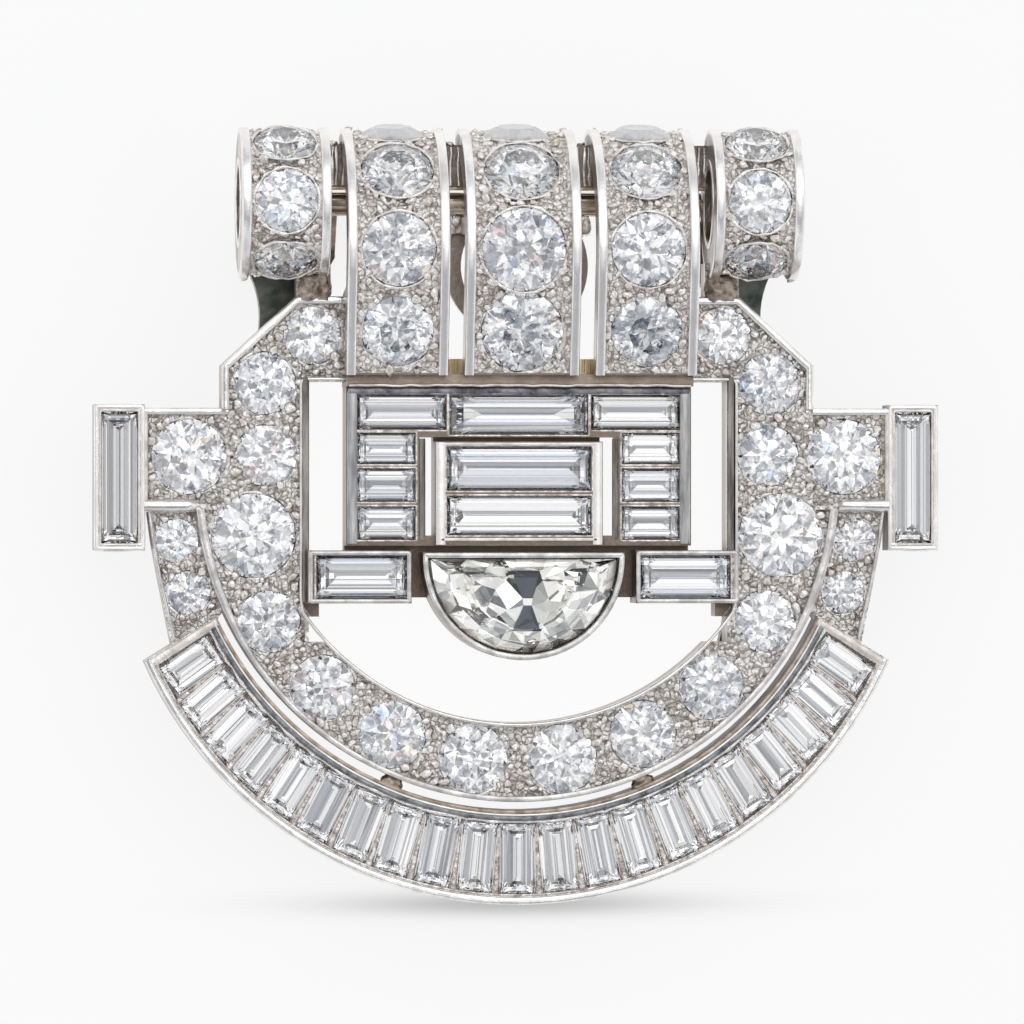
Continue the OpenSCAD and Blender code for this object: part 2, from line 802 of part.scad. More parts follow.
module clip_leg() {
    hollow_r = 5;
    hollow_x = 12.7 + hollow_r;
    hollow_y = 9.9;
    difference() {
        polygon([
            [web_in, leg_top], [13.35, leg_top], [13.35, 11.9], [12.9, 7], [12.9, -3.5], [12.1, -8.2],
            [11.5, -9], [10.6, -8.9], [10.2, -8.2], [11.35, -3], [11, 9.6], [10.1, 10.8], [web_in, 12.9]
        ]);
        translate([hollow_x, hollow_y]) circle(hollow_r);
    }
}

module hinge_pin() {
    pin_half = 10.4;
    color(gold) translate([-pin_half, hinge_y, hinge_z]) rotate([0, 90, 0])
        cylinder(r = pin_r, h = 2 * pin_half);
}

// The stones

module side_round(side, s) {
    color(diamond) at_round(side, s) brilliant(s[SIZE], s[ACROSS] * 7 + side[1] * 3);
}

module single_baguette(b, slant = 0) {
    color(diamond) at_baguette(b) step_cut(b[LENGTH], b[WIDTH], slant);
}

module half_moon() {
    color(diamond) translate([lower_shift, moon_y, panel_girdle + lower_raise]) half_moon_cut(moon_r);
}

module scroll_stones(s) {
    color(diamond) for (i = [0:len(s[STONES]) - 1])
        at_scroll_seat(s, i) brilliant(s[STONES][i], i * 5 + s[ACROSS]);
}

module column_baguettes(side) {
    color(diamond) for (c = COLUMN)
        translate([side[1] * column_x, c[0], panel_girdle]) step_cut(column_l, c[1]);
}

module arc_baguettes() {
    color(diamond) for (i = [0:arc_count - 1]) {
        angle = (i - (arc_count - 1) / 2) * fan_pitch;
        stone = arc_stone(angle);
        translate([0, fan_y, arc_girdle]) rotate([0, 0, angle])
            translate([0, -(stone[0] + stone[1]) / 2, 0]) rotate([0, 0, 90])
                step_cut(stone[1] - stone[0], stone[2]);
    }
}

mount();
gold_rail();
clip();
hinge_pin();
half_moon();
single_baguette(TOP_MIDDLE, 0.7);
for (side = SIDES) for (s = SIDE_ROUNDS)
    side_round(side, s);
for (b = SINGLE_BAGUETTES)
    single_baguette(b);
for (s = SCROLLS)
    scroll_stones(s);
for (side = SIDES)
    column_baguettes(side);
arc_baguettes();
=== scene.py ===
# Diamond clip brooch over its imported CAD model. Lengths are in millimetres until MM turns them to metres.
import math
import random
from collections import namedtuple

import bmesh
import bpy
from mathutils import Matrix, Vector
from mathutils.bvhtree import BVHTree
from mathutils.geometry import delaunay_2d_cdt
from mathutils.noise import noise as noise_at


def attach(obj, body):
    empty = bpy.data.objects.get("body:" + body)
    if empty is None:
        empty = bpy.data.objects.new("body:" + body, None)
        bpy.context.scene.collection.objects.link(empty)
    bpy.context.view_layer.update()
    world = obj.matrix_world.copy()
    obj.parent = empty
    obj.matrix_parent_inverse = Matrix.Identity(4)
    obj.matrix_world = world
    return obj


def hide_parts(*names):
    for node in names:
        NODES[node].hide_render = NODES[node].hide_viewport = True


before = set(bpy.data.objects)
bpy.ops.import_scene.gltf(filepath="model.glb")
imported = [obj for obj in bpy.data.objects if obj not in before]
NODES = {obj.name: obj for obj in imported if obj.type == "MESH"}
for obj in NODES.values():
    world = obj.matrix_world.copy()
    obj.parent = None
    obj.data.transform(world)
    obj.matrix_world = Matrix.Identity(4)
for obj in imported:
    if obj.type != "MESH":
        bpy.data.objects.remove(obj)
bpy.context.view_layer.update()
MM = 0.001
UP = Vector((0, 0, 1))
SIDES = (-1, 1)

# Sizes of the CAD model that the pieces are laid on

RIM_Z = 5.3
WING_DROP = 0.25
GIRDLE_SINK = 0.1
PANEL_Z = 5.6
LOWER_Z = 6.2
FRAME_HALF = 14.85
FRAME_TOP = 10.85
FRAME_FLAT = 11.1
FRAME_SHOULDER = 7.4
FRAME_CUT = 8.5
WINDOW_HALF = 10.5
WINDOW_TOP = 6.6
BAND_OUTER = (1.775, 16.2)
BAND_INNER = (2.575, 13.05)
WING_TOP = 5.28
WING_BOTTOM = 0.1
BOX_OUT = 21.2
BOX_IN = 18.65
BOX_TOP = 5.45
BOX_BOTTOM = -1.85
ARC_OUTER = (0.85, 20.42)
ARC_INNER = (1.75, 16.6)
FAN_Y = 4.1
FAN_HALF = 58.5
ARC_COUNT = 21
ARC_END_WALL = 1.35
PANEL_HALF = 8.65
PANEL_TOP = 6.4
PANEL_BOTTOM = -1.6
COLUMN_IN = 3.62
BLOCK_HALF = 4.19
BLOCK_TOP = 3.6
SLOT_W = 0.8
LOWER_SHIFT = 0.2
MOON_Y = -2.25
MOON_R = 4.75
CURL_Y = 13.3
CURL_Z = 2.9
CURL_R = 6.0
STRAP_SLOPE = 15
STRAP_END = 6.9
STRAP_BACK = 104
STRAPS_HALF = 9.3
SCROLLS_Y = 11.5
ROLL_Y = 15.5
ROLL_Z = 5.15
ROLL_R = 3.75
BORE_R = 2.1
TUBE_Y = 15.55
TUBE_Z = 2.6
TUBE_R = 0.58
TUBE_HALF = 9.4
BAR_Y = 16.45
BAR_Z = 3.6
RIB_X = -9.55
RIB_PITCH = 0.303
RAIL_Y = (7.03, 7.72)
RAIL_Z = 4.32
FLANK = (5.62, 10.78, -4.48, -1.84)
SIDE_RIM = 0.45
STRAPS = ((-6.22, 2.525), (0.0, 2.85), (6.22, 2.525))
ROLLS = ((-11.79, 2.2), (11.79, 2.2))


# Objects and meshes

def add_object(name, data):
    made = bpy.data.objects.new(name, data)
    bpy.context.scene.collection.objects.link(made)
    return made


def on_body(piece, body="brooch"):
    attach(piece, body)


def mesh_from(work, name, *materials):
    mesh = bpy.data.meshes.new(name)
    work.to_mesh(mesh)
    work.free()
    for material in materials:
        mesh.materials.append(material)
    return mesh


def keep_modified(piece):
    graph = bpy.context.evaluated_depsgraph_get()
    made = bpy.data.meshes.new_from_object(piece.evaluated_get(graph))
    piece.modifiers.clear()
    piece.data = made


# Camera

CAMERA_DISTANCE = 420
VIEW_WIDTH = 51.2
SENSOR = 36
LEFT_TURN = math.radians(5.0)
AIM = (-0.32, 0.08, 5.3)
TO_CAMERA = Vector((-math.sin(LEFT_TURN), 0, math.cos(LEFT_TURN)))


def make_camera():
    data = bpy.data.cameras.new("camera")
    data.sensor_width = SENSOR
    data.lens = SENSOR * CAMERA_DISTANCE / VIEW_WIDTH
    data.clip_start = 0.01
    data.clip_end = 20
    right = Vector((math.cos(LEFT_TURN), 0, math.sin(LEFT_TURN)))
    turn = Matrix((right, Vector((0, 1, 0)), TO_CAMERA)).transposed().to_4x4()
    aim = Vector([number * MM for number in AIM])
    camera = add_object("camera", data)
    camera.matrix_world = Matrix.Translation(aim + TO_CAMERA * CAMERA_DISTANCE * MM) @ turn
    bpy.context.scene.camera = camera


# Node trees

class Value:
    """What a socket gives. Sums with it add nodes, and | keeps the larger of two values."""

    def __init__(self, socket):
        self.socket = socket
        self.tree = socket.id_data

    def __add__(self, other):
        return maths("ADD", self, other)

    def __sub__(self, other):
        return maths("SUBTRACT", self, other)

    def __rsub__(self, other):
        return maths("SUBTRACT", other, self)

    def __mul__(self, other):
        return maths("MULTIPLY", self, other)

    def __truediv__(self, other):
        return maths("DIVIDE", self, other)

    def __lt__(self, other):
        return maths("LESS_THAN", self, other)

    def __gt__(self, other):
        return maths("GREATER_THAN", self, other)

    def __or__(self, other):
        return maths("MAXIMUM", self, other)

    def __abs__(self):
        return maths("ABSOLUTE", self)


def node(tree, kind, inputs=None, output=0, **settings):
    """Adds a node and gives one output. Its inputs are linked to values, or set to numbers and colours."""
    made = tree.nodes.new(kind)
    for key, setting in settings.items():
        setattr(made, key, setting)
    for key, given in (inputs or {}).items():
        socket = made.inputs[key]
        if isinstance(given, Value):
            tree.links.new(given.socket, socket)
        else:
            socket.default_value = (*given, 1) if socket.type == "RGBA" else given
    return Value(made.outputs[output]) if made.outputs else None


def tree_of(*values):
    return next(value.tree for value in values if isinstance(value, Value))


def maths(operation, first, second=0.5):
    return node(tree_of(first, second), "ShaderNodeMath", {0: first, 1: second}, operation=operation)


def vectors(operation, first, second=(0, 0, 0), output=0, **inputs):
    tree = tree_of(first, second, *inputs.values())
    return node(tree, "ShaderNodeVectorMath", {0: first, 1: second, **inputs}, output, operation=operation)


def parts(value, kind="XYZ"):
    made = node(value.tree, "ShaderNodeSeparate" + kind, {0: value})
    return [Value(socket) for socket in made.socket.node.outputs]


def length(across, along):
    return maths("SQRT", across * across + along * along)


def between(value, low, high):
    """0 at one value, 1 at the other and a soft step between them."""
    inputs = {0: value, 1: low, 2: high}
    return node(value.tree, "ShaderNodeMapRange", inputs, interpolation_type="SMOOTHSTEP")


def past(distance, start, end):
    """The same step over a stretch in millimetres."""
    return between(distance, start * MM, end * MM)


def spread(share, low, high):
    return node(share.tree, "ShaderNodeMapRange", {0: share, 3: low, 4: high})


def noise(place, scale, detail=3.0, rough=0.5, stretch=None, output=0):
    if stretch:
        place = node(place.tree, "ShaderNodeMapping", {"Vector": place, "Scale": stretch})
    inputs = {"Vector": place, "Scale": scale, "Detail": detail, "Roughness": rough}
    return node(place.tree, "ShaderNodeTexNoise", inputs, output)


def cells(place, output=0, **settings):
    return node(tree_of(*place.values()), "ShaderNodeTexVoronoi", place, output, **settings)


def ramp(value, stops, interpolation="LINEAR"):
    made = node(value.tree, "ShaderNodeValToRGB", {"Fac": value})
    colours = made.socket.node.color_ramp
    colours.interpolation = interpolation
    while len(colours.elements) < len(stops):
        colours.elements.new(0.5)
    for element, (place, colour) in zip(colours.elements, stops):
        element.position = place
        element.color = (*colour, 1)
    return made


def mix(share, first, second, **settings):
    inputs = {0: share, 6: first, 7: second}
    return node(tree_of(*inputs.values()), "ShaderNodeMix", inputs, 2, data_type="RGBA", **settings)


def bump(height, distance, strength):
    inputs = {"Height": height, "Distance": distance, "Strength": strength}
    return node(height.tree, "ShaderNodeBump", inputs)


def grey(value):
    return (value, value, value)


def new_material(name):
    """An empty material, and the place on the object that its nodes start from."""
    material = bpy.data.materials.new(name)
    material.use_nodes = True
    material.node_tree.nodes.clear()
    return material, node(material.node_tree, "ShaderNodeTexCoord", output="Object")


def surface(material, inputs):
    tree = material.node_tree
    node(tree, "ShaderNodeOutputMaterial", {"Surface": node(tree, "ShaderNodeBsdfPrincipled", inputs)})
    return material


# Light

TENT_STRENGTH = 1.25
TENT_SHADE = (0.33, 0.35, 0.38)
TENT_RINGS = [
    (0.0, grey(0.8)), (0.2, grey(0.8)), (0.34, TENT_SHADE), (0.55, TENT_SHADE), (0.62, grey(1.0)),
    (0.8, grey(1.0)), (0.86, TENT_SHADE), (0.92, TENT_SHADE), (0.96, grey(0.85)), (1.0, grey(0.85)),
]
CARD_SHADE = 0.9
LOW_CARD_Y = (-0.45, -0.75)
HIGH_CARD_Y = (0.45, 0.65)
HIGH_CARD = 0.8
SIDE_CARD_X = (0.4, 0.55)
SIDE_CARD = 0.75
OVERHEAD = (0.972, 0.98)
PATCH_SCALE = 5.4
PATCH_STOPS = [(0.47, grey(0)), (0.52, grey(1))]
PATCH_SHADE = (0.34, 0.365, 0.405)
SPECK_SCALE = 11.0
SPECK_LEVEL = (0.36, 0.33)
SPECK_SHADE = (0.16, 0.17, 0.19)
SPOT_STOPS = [(0.9875, grey(0)), (0.9905, grey(1))]
SPOT_SHADE = (0.3, 0.305, 0.32)
FLOOR_REACH = 3.0
FLOOR_GLOW = 0.852
# Painted light: the floor glows brighter under the brooch, where its shade falls
PAINTED_GLOW_UNDER = 0.925
PAINTED_GLOW_REACH = (17.5, 12)
FLOOR_SHADE = 0.12
# Painted shadow: a soft dark patch on the floor under the arc's lower end
SHADOW_SHARE = 0.48
SHADOW_MIDDLE = (0.1, -19.75)
SHADOW_SPAN = (8.6, 0.6)
LAMP_SIZE = 0.8
LAMP_DISTANCE = 0.8
LAMP_RAISE = math.radians(62)
LAMP_POWER = 1.2
BOUNCES = 12


def make_world():
    """A light tent: white walls with a soft dark ring, darker patches and a dark spot over the brooch."""
    world = bpy.data.worlds.new("studio")
    world.use_nodes = True
    bpy.context.scene.world = world
    tree = world.node_tree
    tree.nodes.clear()
    place = node(tree, "ShaderNodeTexCoord", output="Generated")
    x, y, height = parts(place)
    # White cards stand all round, the brightest below the brooch's lower end
    side_card = between(abs(x), *SIDE_CARD_X) * SIDE_CARD
    card = between(y, *LOW_CARD_Y) | between(y, *HIGH_CARD_Y) * HIGH_CARD | side_card
    rings = mix(card, ramp(height, TENT_RINGS), grey(CARD_SHADE))
    overhead = between(height, *OVERHEAD)
    share = ramp(noise(place, PATCH_SCALE, 2.0), PATCH_STOPS) | (overhead | side_card)
    specks = between(noise(place, SPECK_SCALE, 1.0), *SPECK_LEVEL) * (1.0 - overhead)
    patched = mix(specks, mix(share, PATCH_SHADE, grey(1)), SPECK_SHADE)
    tent = mix(0.9, rings, patched, blend_type="MULTIPLY")
    spot = ramp(vectors("DOT_PRODUCT", place, TO_CAMERA, output="Value"), SPOT_STOPS)
    inputs = {"Color": mix(spot, tent, SPOT_SHADE), "Strength": TENT_STRENGTH}
    node(tree, "ShaderNodeOutputWorld", {"Surface": node(tree, "ShaderNodeBackground", inputs)})


def make_floor():
    """A table that glows evenly, with painted light that makes it brighter behind the brooch's openings,
    where the brooch's shade would fall, and a painted shadow under its lower end.
    """
    mesh = bpy.data.meshes.new("floor")
    corners = [(x * FLOOR_REACH, y * FLOOR_REACH, 0) for x, y in ((-1, -1), (1, -1), (1, 1), (-1, 1))]
    mesh.from_pydata(corners, [], [(0, 1, 2, 3)])
    material, place = new_material("white_floor")
    x, y, z = parts(place)
    # Painted shadow under the arc's lower end
    squares = []
    for value, middle, span in zip((x, y), SHADOW_MIDDLE, SHADOW_SPAN):
        step = (value - middle * MM) / (span * MM)
        squares.append(step * step)
    shadow = maths("EXPONENT", (squares[0] + squares[1]) * -1.0) * SHADOW_SHARE
    # Painted light: brighter under the brooch
    under = past(vectors("LENGTH", place, output="Value"), *PAINTED_GLOW_REACH)
    glow = spread(under, FLOOR_GLOW, PAINTED_GLOW_UNDER) * (1.0 - shadow)
    surface(material, {
        "Base Color": grey(FLOOR_SHADE), "Roughness": 0.9, "Specular IOR Level": 0.0,
        "Emission Color": grey(1), "Emission Strength": glow,
    })
    mesh.materials.append(material)
    add_object("floor", mesh)


def make_lamp():
    """A wide soft lamp above the brooch's top edge, which throws a faint soft shadow; the darker shadow under
    the arc is painted on the floor.
    """
    data = bpy.data.lights.new("soft_lamp", "AREA")
    data.shape = "DISK"
    data.size = LAMP_SIZE
    data.energy = LAMP_POWER
    data.color = (1.0, 0.99, 0.97)
    back = Vector((0.05, math.cos(LAMP_RAISE), math.sin(LAMP_RAISE))).normalized()
    turn = back.to_track_quat("Z", "Y").to_matrix().to_4x4()
    add_object("soft_lamp", data).matrix_world = Matrix.Translation(back * LAMP_DISTANCE) @ turn


def let_light_through():
    """Enough bounces for light to find its way through the cut stones."""
    cycles = bpy.context.scene.cycles
    cycles.max_bounces = BOUNCES + 8
    cycles.glossy_bounces = BOUNCES
    cycles.transmission_bounces = BOUNCES


# Stones' materials

CLEAR = (0.9, 0.9, 0.917)
# Painted light and shade in cells for the rounds' facets, with rare painted fire in blue, orange and pink
ROUND_STOPS = [
    (0.0, CLEAR), (0.26, (0.8, 0.8, 0.825)), (0.4, CLEAR), (0.5, (0.64, 0.64, 0.655)), (0.6, CLEAR),
    (0.7, (0.5, 0.505, 0.53)), (0.78, grey(0.98)), (0.85, (0.26, 0.28, 0.33)), (0.905, (0.9, 0.87, 0.81)),
    (0.945, (0.63, 0.77, 1.0)), (0.96, (1.0, 0.8, 0.6)), (0.968, (0.93, 0.72, 0.7)), (0.973, CLEAR),
]
# Painted light and shade in cells for the scrolls' facets, darker than the rounds', with rare painted fire
SCROLL_STOPS = [
    (0.0, CLEAR), (0.24, (0.74, 0.745, 0.77)), (0.38, CLEAR), (0.47, (0.56, 0.56, 0.58)), (0.57, CLEAR),
    (0.66, (0.4, 0.41, 0.44)), (0.75, grey(0.98)), (0.82, (0.16, 0.18, 0.22)), (0.905, (0.92, 0.89, 0.82)),
    (0.95, (0.6, 0.74, 1.0)), (0.963, (1.0, 0.8, 0.6)), (0.97, (0.86, 0.6, 0.58)), (0.976, CLEAR),
]
STRAPS_AHEAD = 1.5
# Painted light: the stones that lean away on top are painted whiter
TOP_LIGHT_Y = (17.0, 20.0)
TOPMOST_LIGHT_Y = (20.0, 20.4)
TOP_LIGHT_WHITE = 0.75
TOP_LIGHT_CLEAR = 0.86
TOPMOST_LIGHT = 0.4
ROUND_CELL = 1650
ROUND_TURN = 0.03
WARM = (0.99, 0.985, 0.97)
# Painted light and shade in cells for the half-moon's facets
MOON_STOPS = [
    (0.0, WARM), (0.42, (0.9, 0.885, 0.855)), (0.58, WARM), (0.74, (0.8, 0.795, 0.78)),
    (0.79, (0.99, 0.99, 0.985)), (0.93, (0.84, 0.9, 1.0)), (0.95, (1.0, 0.95, 0.86)), (0.97, WARM),
]
MOON_CELL = 1000
MOON_TURN = 0.035
MOON_LEAN = (-0.055, 0.0, 0.0)
MOON_SHADE = (1.0, 0.998, 0.985)
# Painted shade of the two dark facets in the middle
BOW_TIE_SHADE = (0.09, 0.107, 0.135)
# Painted light and shade in stripes for the step-cut stones
PANEL_STOPS = [
    (0.0, (0.93, 0.93, 0.94)), (0.14, (0.45, 0.45, 0.465)), (0.25, (0.77, 0.77, 0.79)),
    (0.4, (0.3, 0.295, 0.295)), (0.47, (0.86, 0.86, 0.875)), (0.58, (0.52, 0.505, 0.49)),
    (0.7, (0.8, 0.79, 0.77)), (0.78, (0.2, 0.225, 0.28)), (0.83, grey(0.62)), (0.91, grey(0.95)),
]
FAN_STOPS = [
    (0.0, grey(0.97)), (0.2, (0.86, 0.86, 0.87)), (0.36, grey(0.98)), (0.5, (0.8, 0.795, 0.79)),
    (0.6, grey(0.95)), (0.72, (0.72, 0.705, 0.69)), (0.79, (0.97, 0.955, 0.93)), (0.91, (0.6, 0.61, 0.64)),
    (0.945, grey(0.98)),
]
# Painted dark lines where some of the steps meet
PANEL_LINE = (0.36, 0.39, 0.45)
FAN_LINE = (0.76, 0.76, 0.78)
STRIPES_PER_M = 3400
STRIPE_TURN = 0.09
LINED_SHARE = 0.6
LEFT_SEED = 17.3
RIGHT_SEED = 31.7
UPRIGHT_SEED = 3.0
FAN_SEED = 5.37
FAN_REACH = 0.021
# Painted light on the block's lower stone
LOW_STONE_LIGHT = 0.72
LOW_STONE_Y = ((-1.3, -1.25), (0.65, 0.6))
DIAMOND_IOR = 2.417


def unsettled(offset):
    """The surface's direction turned by a little, so that each small facet throws light its own way."""
    world = node(offset.tree, "ShaderNodeVectorTransform", {"Vector": offset}, vector_type="VECTOR",
                 convert_from="OBJECT", convert_to="WORLD")
    straight = node(offset.tree, "ShaderNodeNewGeometry", output="Normal")
    return vectors("NORMALIZE", vectors("ADD", straight, world))


def stone(material, painted_light, offset, clear=1.0):
    return surface(material, {
        "Base Color": painted_light, "Normal": unsettled(offset), "Roughness": 0.0, "IOR": DIAMOND_IOR,
        "Transmission Weight": clear,
    })


def small_facets(place, scale, stops, turn):
    """Cells of painted light and shade that stand for the facets' reflections, and a small turn of the
    surface for each.
    """
    colours = cells({"Vector": place, "Scale": scale}, "Color")
    offset = vectors("MULTIPLY", vectors("SUBTRACT", colours, grey(0.5)), grey(turn))
    return ramp(parts(colours, "Color")[0], stops, "CONSTANT"), offset


def round_diamond():
    material, place = new_material("brilliant_diamond")
    return stone(material, *small_facets(place, ROUND_CELL, ROUND_STOPS, ROUND_TURN))


def scroll_diamond():
    """Darker painted facets than the frame's rounds have, and painted white light on the stones that lean
    away on top, which also let less light through.
    """
    material, place = new_material("scroll_diamond")
    painted_light, offset = small_facets(place, ROUND_CELL, SCROLL_STOPS, ROUND_TURN)
    x, y, z = parts(place)
    height = y + (abs(x) < STRAPS_HALF * MM) * (STRAPS_AHEAD * MM)
    # Painted light: whiter and less clear towards the top
    painted_top_light = past(height, *TOP_LIGHT_Y)
    painted_topmost_light = past(height, *TOPMOST_LIGHT_Y) * TOPMOST_LIGHT
    painted_light = mix(painted_top_light * TOP_LIGHT_WHITE, painted_light, (0.99, 0.99, 1.0))
    return stone(material, painted_light, offset, spread(painted_top_light, 1.0, TOP_LIGHT_CLEAR) - painted_topmost_light)


def stripes(material, across, seed, axis, stops, line, painted_whiter=0.0):
    """Long painted stripes of light and grey, standing for the reflections in the steps of a step-cut stone,
    each leaning its own way.
    """
    place = {"W": across + seed, "Scale": 1.0}
    red, green, blue = parts(cells(place, "Color", voronoi_dimensions="1D"), "Color")
    # A thin painted dark line where some of the steps meet
    edge = cells(place, voronoi_dimensions="1D", feature="DISTANCE_TO_EDGE")
    painted_light = mix(between(edge, 0.2, 0.1) * (blue > 1 - LINED_SHARE), ramp(green, stops, "CONSTANT"), line)
    offset = vectors("SCALE", axis, Scale=(red - 0.5) * STRIPE_TURN)
    return stone(material, mix(painted_whiter, painted_light, (0.98, 0.98, 0.99)), offset)


def panel_diamond():
    """Stripes along X, different on the left, in the middle and on the right."""
    material, place = new_material("step_cut_diamond")
    x, y, z = parts(place)
    left = x < -COLUMN_IN * MM
    right = x > COLUMN_IN * MM
    # Painted light makes the lower stone of the block the whitest
    in_row = past(y, *LOW_STONE_Y[0]) * past(y, *LOW_STONE_Y[1])
    painted_whiter = in_row * (1.0 - (left + right)) * LOW_STONE_LIGHT
    seed = left * LEFT_SEED + right * RIGHT_SEED
    return stripes(material, y * STRIPES_PER_M, seed, (0, 1, 0), PANEL_STOPS, PANEL_LINE, painted_whiter)


def upright_diamond():
    """Stripes along Y."""
    material, place = new_material("upright_step_cut_diamond")
    across = parts(place)[0] * STRIPES_PER_M
    return stripes(material, across, UPRIGHT_SEED, (1, 0, 0), FAN_STOPS, FAN_LINE)


def fan_diamond():
    """Stripes that run out from the fan's point, different on each stone of the arc."""
    material, place = new_material("fan_step_cut_diamond")
    x, y, z = parts(place)
    turn = maths("ARCTAN2", x, FAN_Y * MM - y)
    pitch = math.radians(2 * (FAN_HALF - ARC_END_WALL) / ARC_COUNT)
    seed = maths("ROUND", turn / pitch) * FAN_SEED
    axis = node(place.tree, "ShaderNodeCombineXYZ", {"X": maths("COSINE", turn), "Y": maths("SINE", turn)})
    return stripes(material, turn * (FAN_REACH * STRIPES_PER_M), seed, axis, FAN_STOPS, FAN_LINE)


def moon_diamond():
    """Slightly warm and clear, with faint cells of painted light and shade. Its table leans a little to the
    camera, so that it mirrors the dark spot.
    """
    material, place = new_material("half_moon_diamond")
    painted_light, offset = small_facets(place, MOON_CELL, MOON_STOPS, MOON_TURN)
    return stone(material, mix(0.5, painted_light, (0.99, 0.985, 0.975)), vectors("ADD", offset, MOON_LEAN))


def moon_facet(name, shade):
    """The facets seen through the table: a mirror which sends light straight back up, with cells of painted
    light and shade.
    """
    material, place = new_material(name)
    painted_light, offset = small_facets(place, MOON_CELL, MOON_STOPS, MOON_TURN)
    return metallic(material, mix(1.0, painted_light, shade, blend_type="MULTIPLY"), 0.03, unsettled(offset))


# Metals

WEAR_STOPS = [(0.35, grey(0)), (0.62, grey(1))]
# Painted shade: the legs under the brooch are painted dark
LEG_SHADE_TONES = ((0.05, 0.06, 0.052), (0.13, 0.14, 0.125))
ARM_TONES = ((0.4, 0.32, 0.24), (0.78, 0.7, 0.6))
LEG_TOP = (0.95, 1.4)
# Painted shade in the recesses, also the dark of the grain and brown spots: darker on the set floors, paler
# in the stones' channels
RECESS_SHADE_AND_SPOT_TONES = ((0.4, 0.345, 0.3), (0.78, 0.74, 0.7))
# Painted shade on the panel's walls, darker lower down
PANEL_SHADE_TONES = ((0.26, 0.215, 0.18), (0.46, 0.38, 0.32))
# Painted shade on the walls where they are closed in and low down
WALL_SHADE = (0.17, 0.13, 0.105)
WALL_LIGHT = (0.72, 0.68, 0.64)
FLOOR_LIT = (1.0, 0.975, 0.95)
# Painted light on the walls of the stones' seats
SEAT_LIGHT = (0.93, 0.93, 0.95)
# Heights at which one look passes into another
SET_FLOOR_Z = (4.3, 4.45)
WALL_Z = (4.2, 4.6)
SEAT_Z = (3.6, 3.9)
PANEL_WALL_Z = (6.3, 6.4)
# Limits along Y of the plain metal in the middle
ABOVE_PANEL_Y = (6.98, 7.02)
BELOW_PANEL_Y = (-7.0, -7.1)
POSTS_Y = (-1.7, -1.75)
OPENING_Y = (-4.4, -4.45)
SCROLL_DEPTH = 0.45
# Darkest and lightest tone, least and greatest roughness, wear per metre, height of the waves, stretch
METALS = {
    "polished_platinum": ((0.74, 0.715, 0.69), (0.96, 0.945, 0.925), (0.07, 0.22), 900, 0.00004),
    "brushed_platinum": ((0.64, 0.58, 0.535), (0.9, 0.855, 0.82), (0.22, 0.4), 1600, 0.00004),
    "ashen_platinum": ((0.52, 0.5, 0.485), (0.84, 0.82, 0.8), (0.2, 0.36), 1200, 0.00004),
    # Painted shade: a dark grey for the shadow bands inside the arc and under the panel's top edge
    "painted_shade_platinum": ((0.1, 0.105, 0.115), (0.3, 0.31, 0.325), (0.15, 0.35), 1500, 0.00005),
    "satin_platinum": ((0.84, 0.81, 0.785), (0.99, 0.975, 0.96), (0.2, 0.36), 700, 0.00003),
    # Painted shade: a dark grey for the bevels beside the opening and the slots
    "bevelled_platinum": (
        (0.14, 0.125, 0.115), (0.42, 0.39, 0.36), (0.2, 0.4), 1800, 0.00005, (1.0, 0.15, 1.0)
    ),
    "tarnished_platinum": ((0.3, 0.235, 0.18), (0.62, 0.53, 0.45), (0.25, 0.45), 1500, 0.00006),
    "seamed_platinum": ((0.34, 0.28, 0.235), (0.9, 0.86, 0.83), (0.18, 0.36), 2600, 0.00008),
    # Drawn grain along the panel's sides, in a grey darker than the metal: painted shade
    "drawn_platinum": ((0.25, 0.25, 0.26), (0.6, 0.59, 0.58), (0.2, 0.4), 2200, 0.00005, (1.0, 0.12, 1.0)),
    "bright_platinum": ((0.76, 0.7, 0.65), (1.0, 0.98, 0.96), (0.17, 0.38), 2600, 0.00012),
    "molten_platinum": ((0.6, 0.53, 0.475), (1.0, 0.985, 0.965), (0.14, 0.34), 2900, 0.00016),
    "umber_platinum": ((0.2, 0.155, 0.125), (0.5, 0.43, 0.37), (0.3, 0.5), 2400, 0.0001),
    "pale_gold": ((0.5, 0.36, 0.2), (0.86, 0.74, 0.52), (0.2, 0.4), 1500, 0.00008, (1.0, 0.25, 1.0)),
    "clip_edge": ((0.45, 0.38, 0.3), (0.75, 0.68, 0.58), (0.15, 0.3), 1500, 0.00003),
}


def metallic(material, colour, rough, normal):
    return surface(material, {"Metallic": 1.0, "Base Color": colour, "Roughness": rough, "Normal": normal})


def metal(name, dark, light, rough, scale, height, stretch=None):
    """A finish whose wear mixes two tones, with a fine uneven surface."""
    material, place = new_material(name)
    wear = noise(place, scale, 4.0, 0.6, stretch)
    waves = noise(place, scale * 1.6, 3.0, 0.55, stretch)
    colour = mix(ramp(wear, WEAR_STOPS), dark, light)
    return metallic(material, colour, spread(wear, rough[1], rough[0]), bump(waves, height, 0.6))


def clip_metal():
    """Legs painted dark bluish-green, painted shade under the brooch, and a warmer, lighter metal from the
    webs up to the tube.
    """
    material, place = new_material("clip_metal")
    wear = noise(place, 900, 4.0, 0.6)
    share = ramp(wear, WEAR_STOPS)
    colour = mix(past(parts(place)[2], *LEG_TOP), mix(share, *LEG_SHADE_TONES), mix(share, *ARM_TONES))
    return metallic(material, colour, spread(wear, 0.4, 0.25), bump(noise(place, 1500), 0.00004, 0.6))


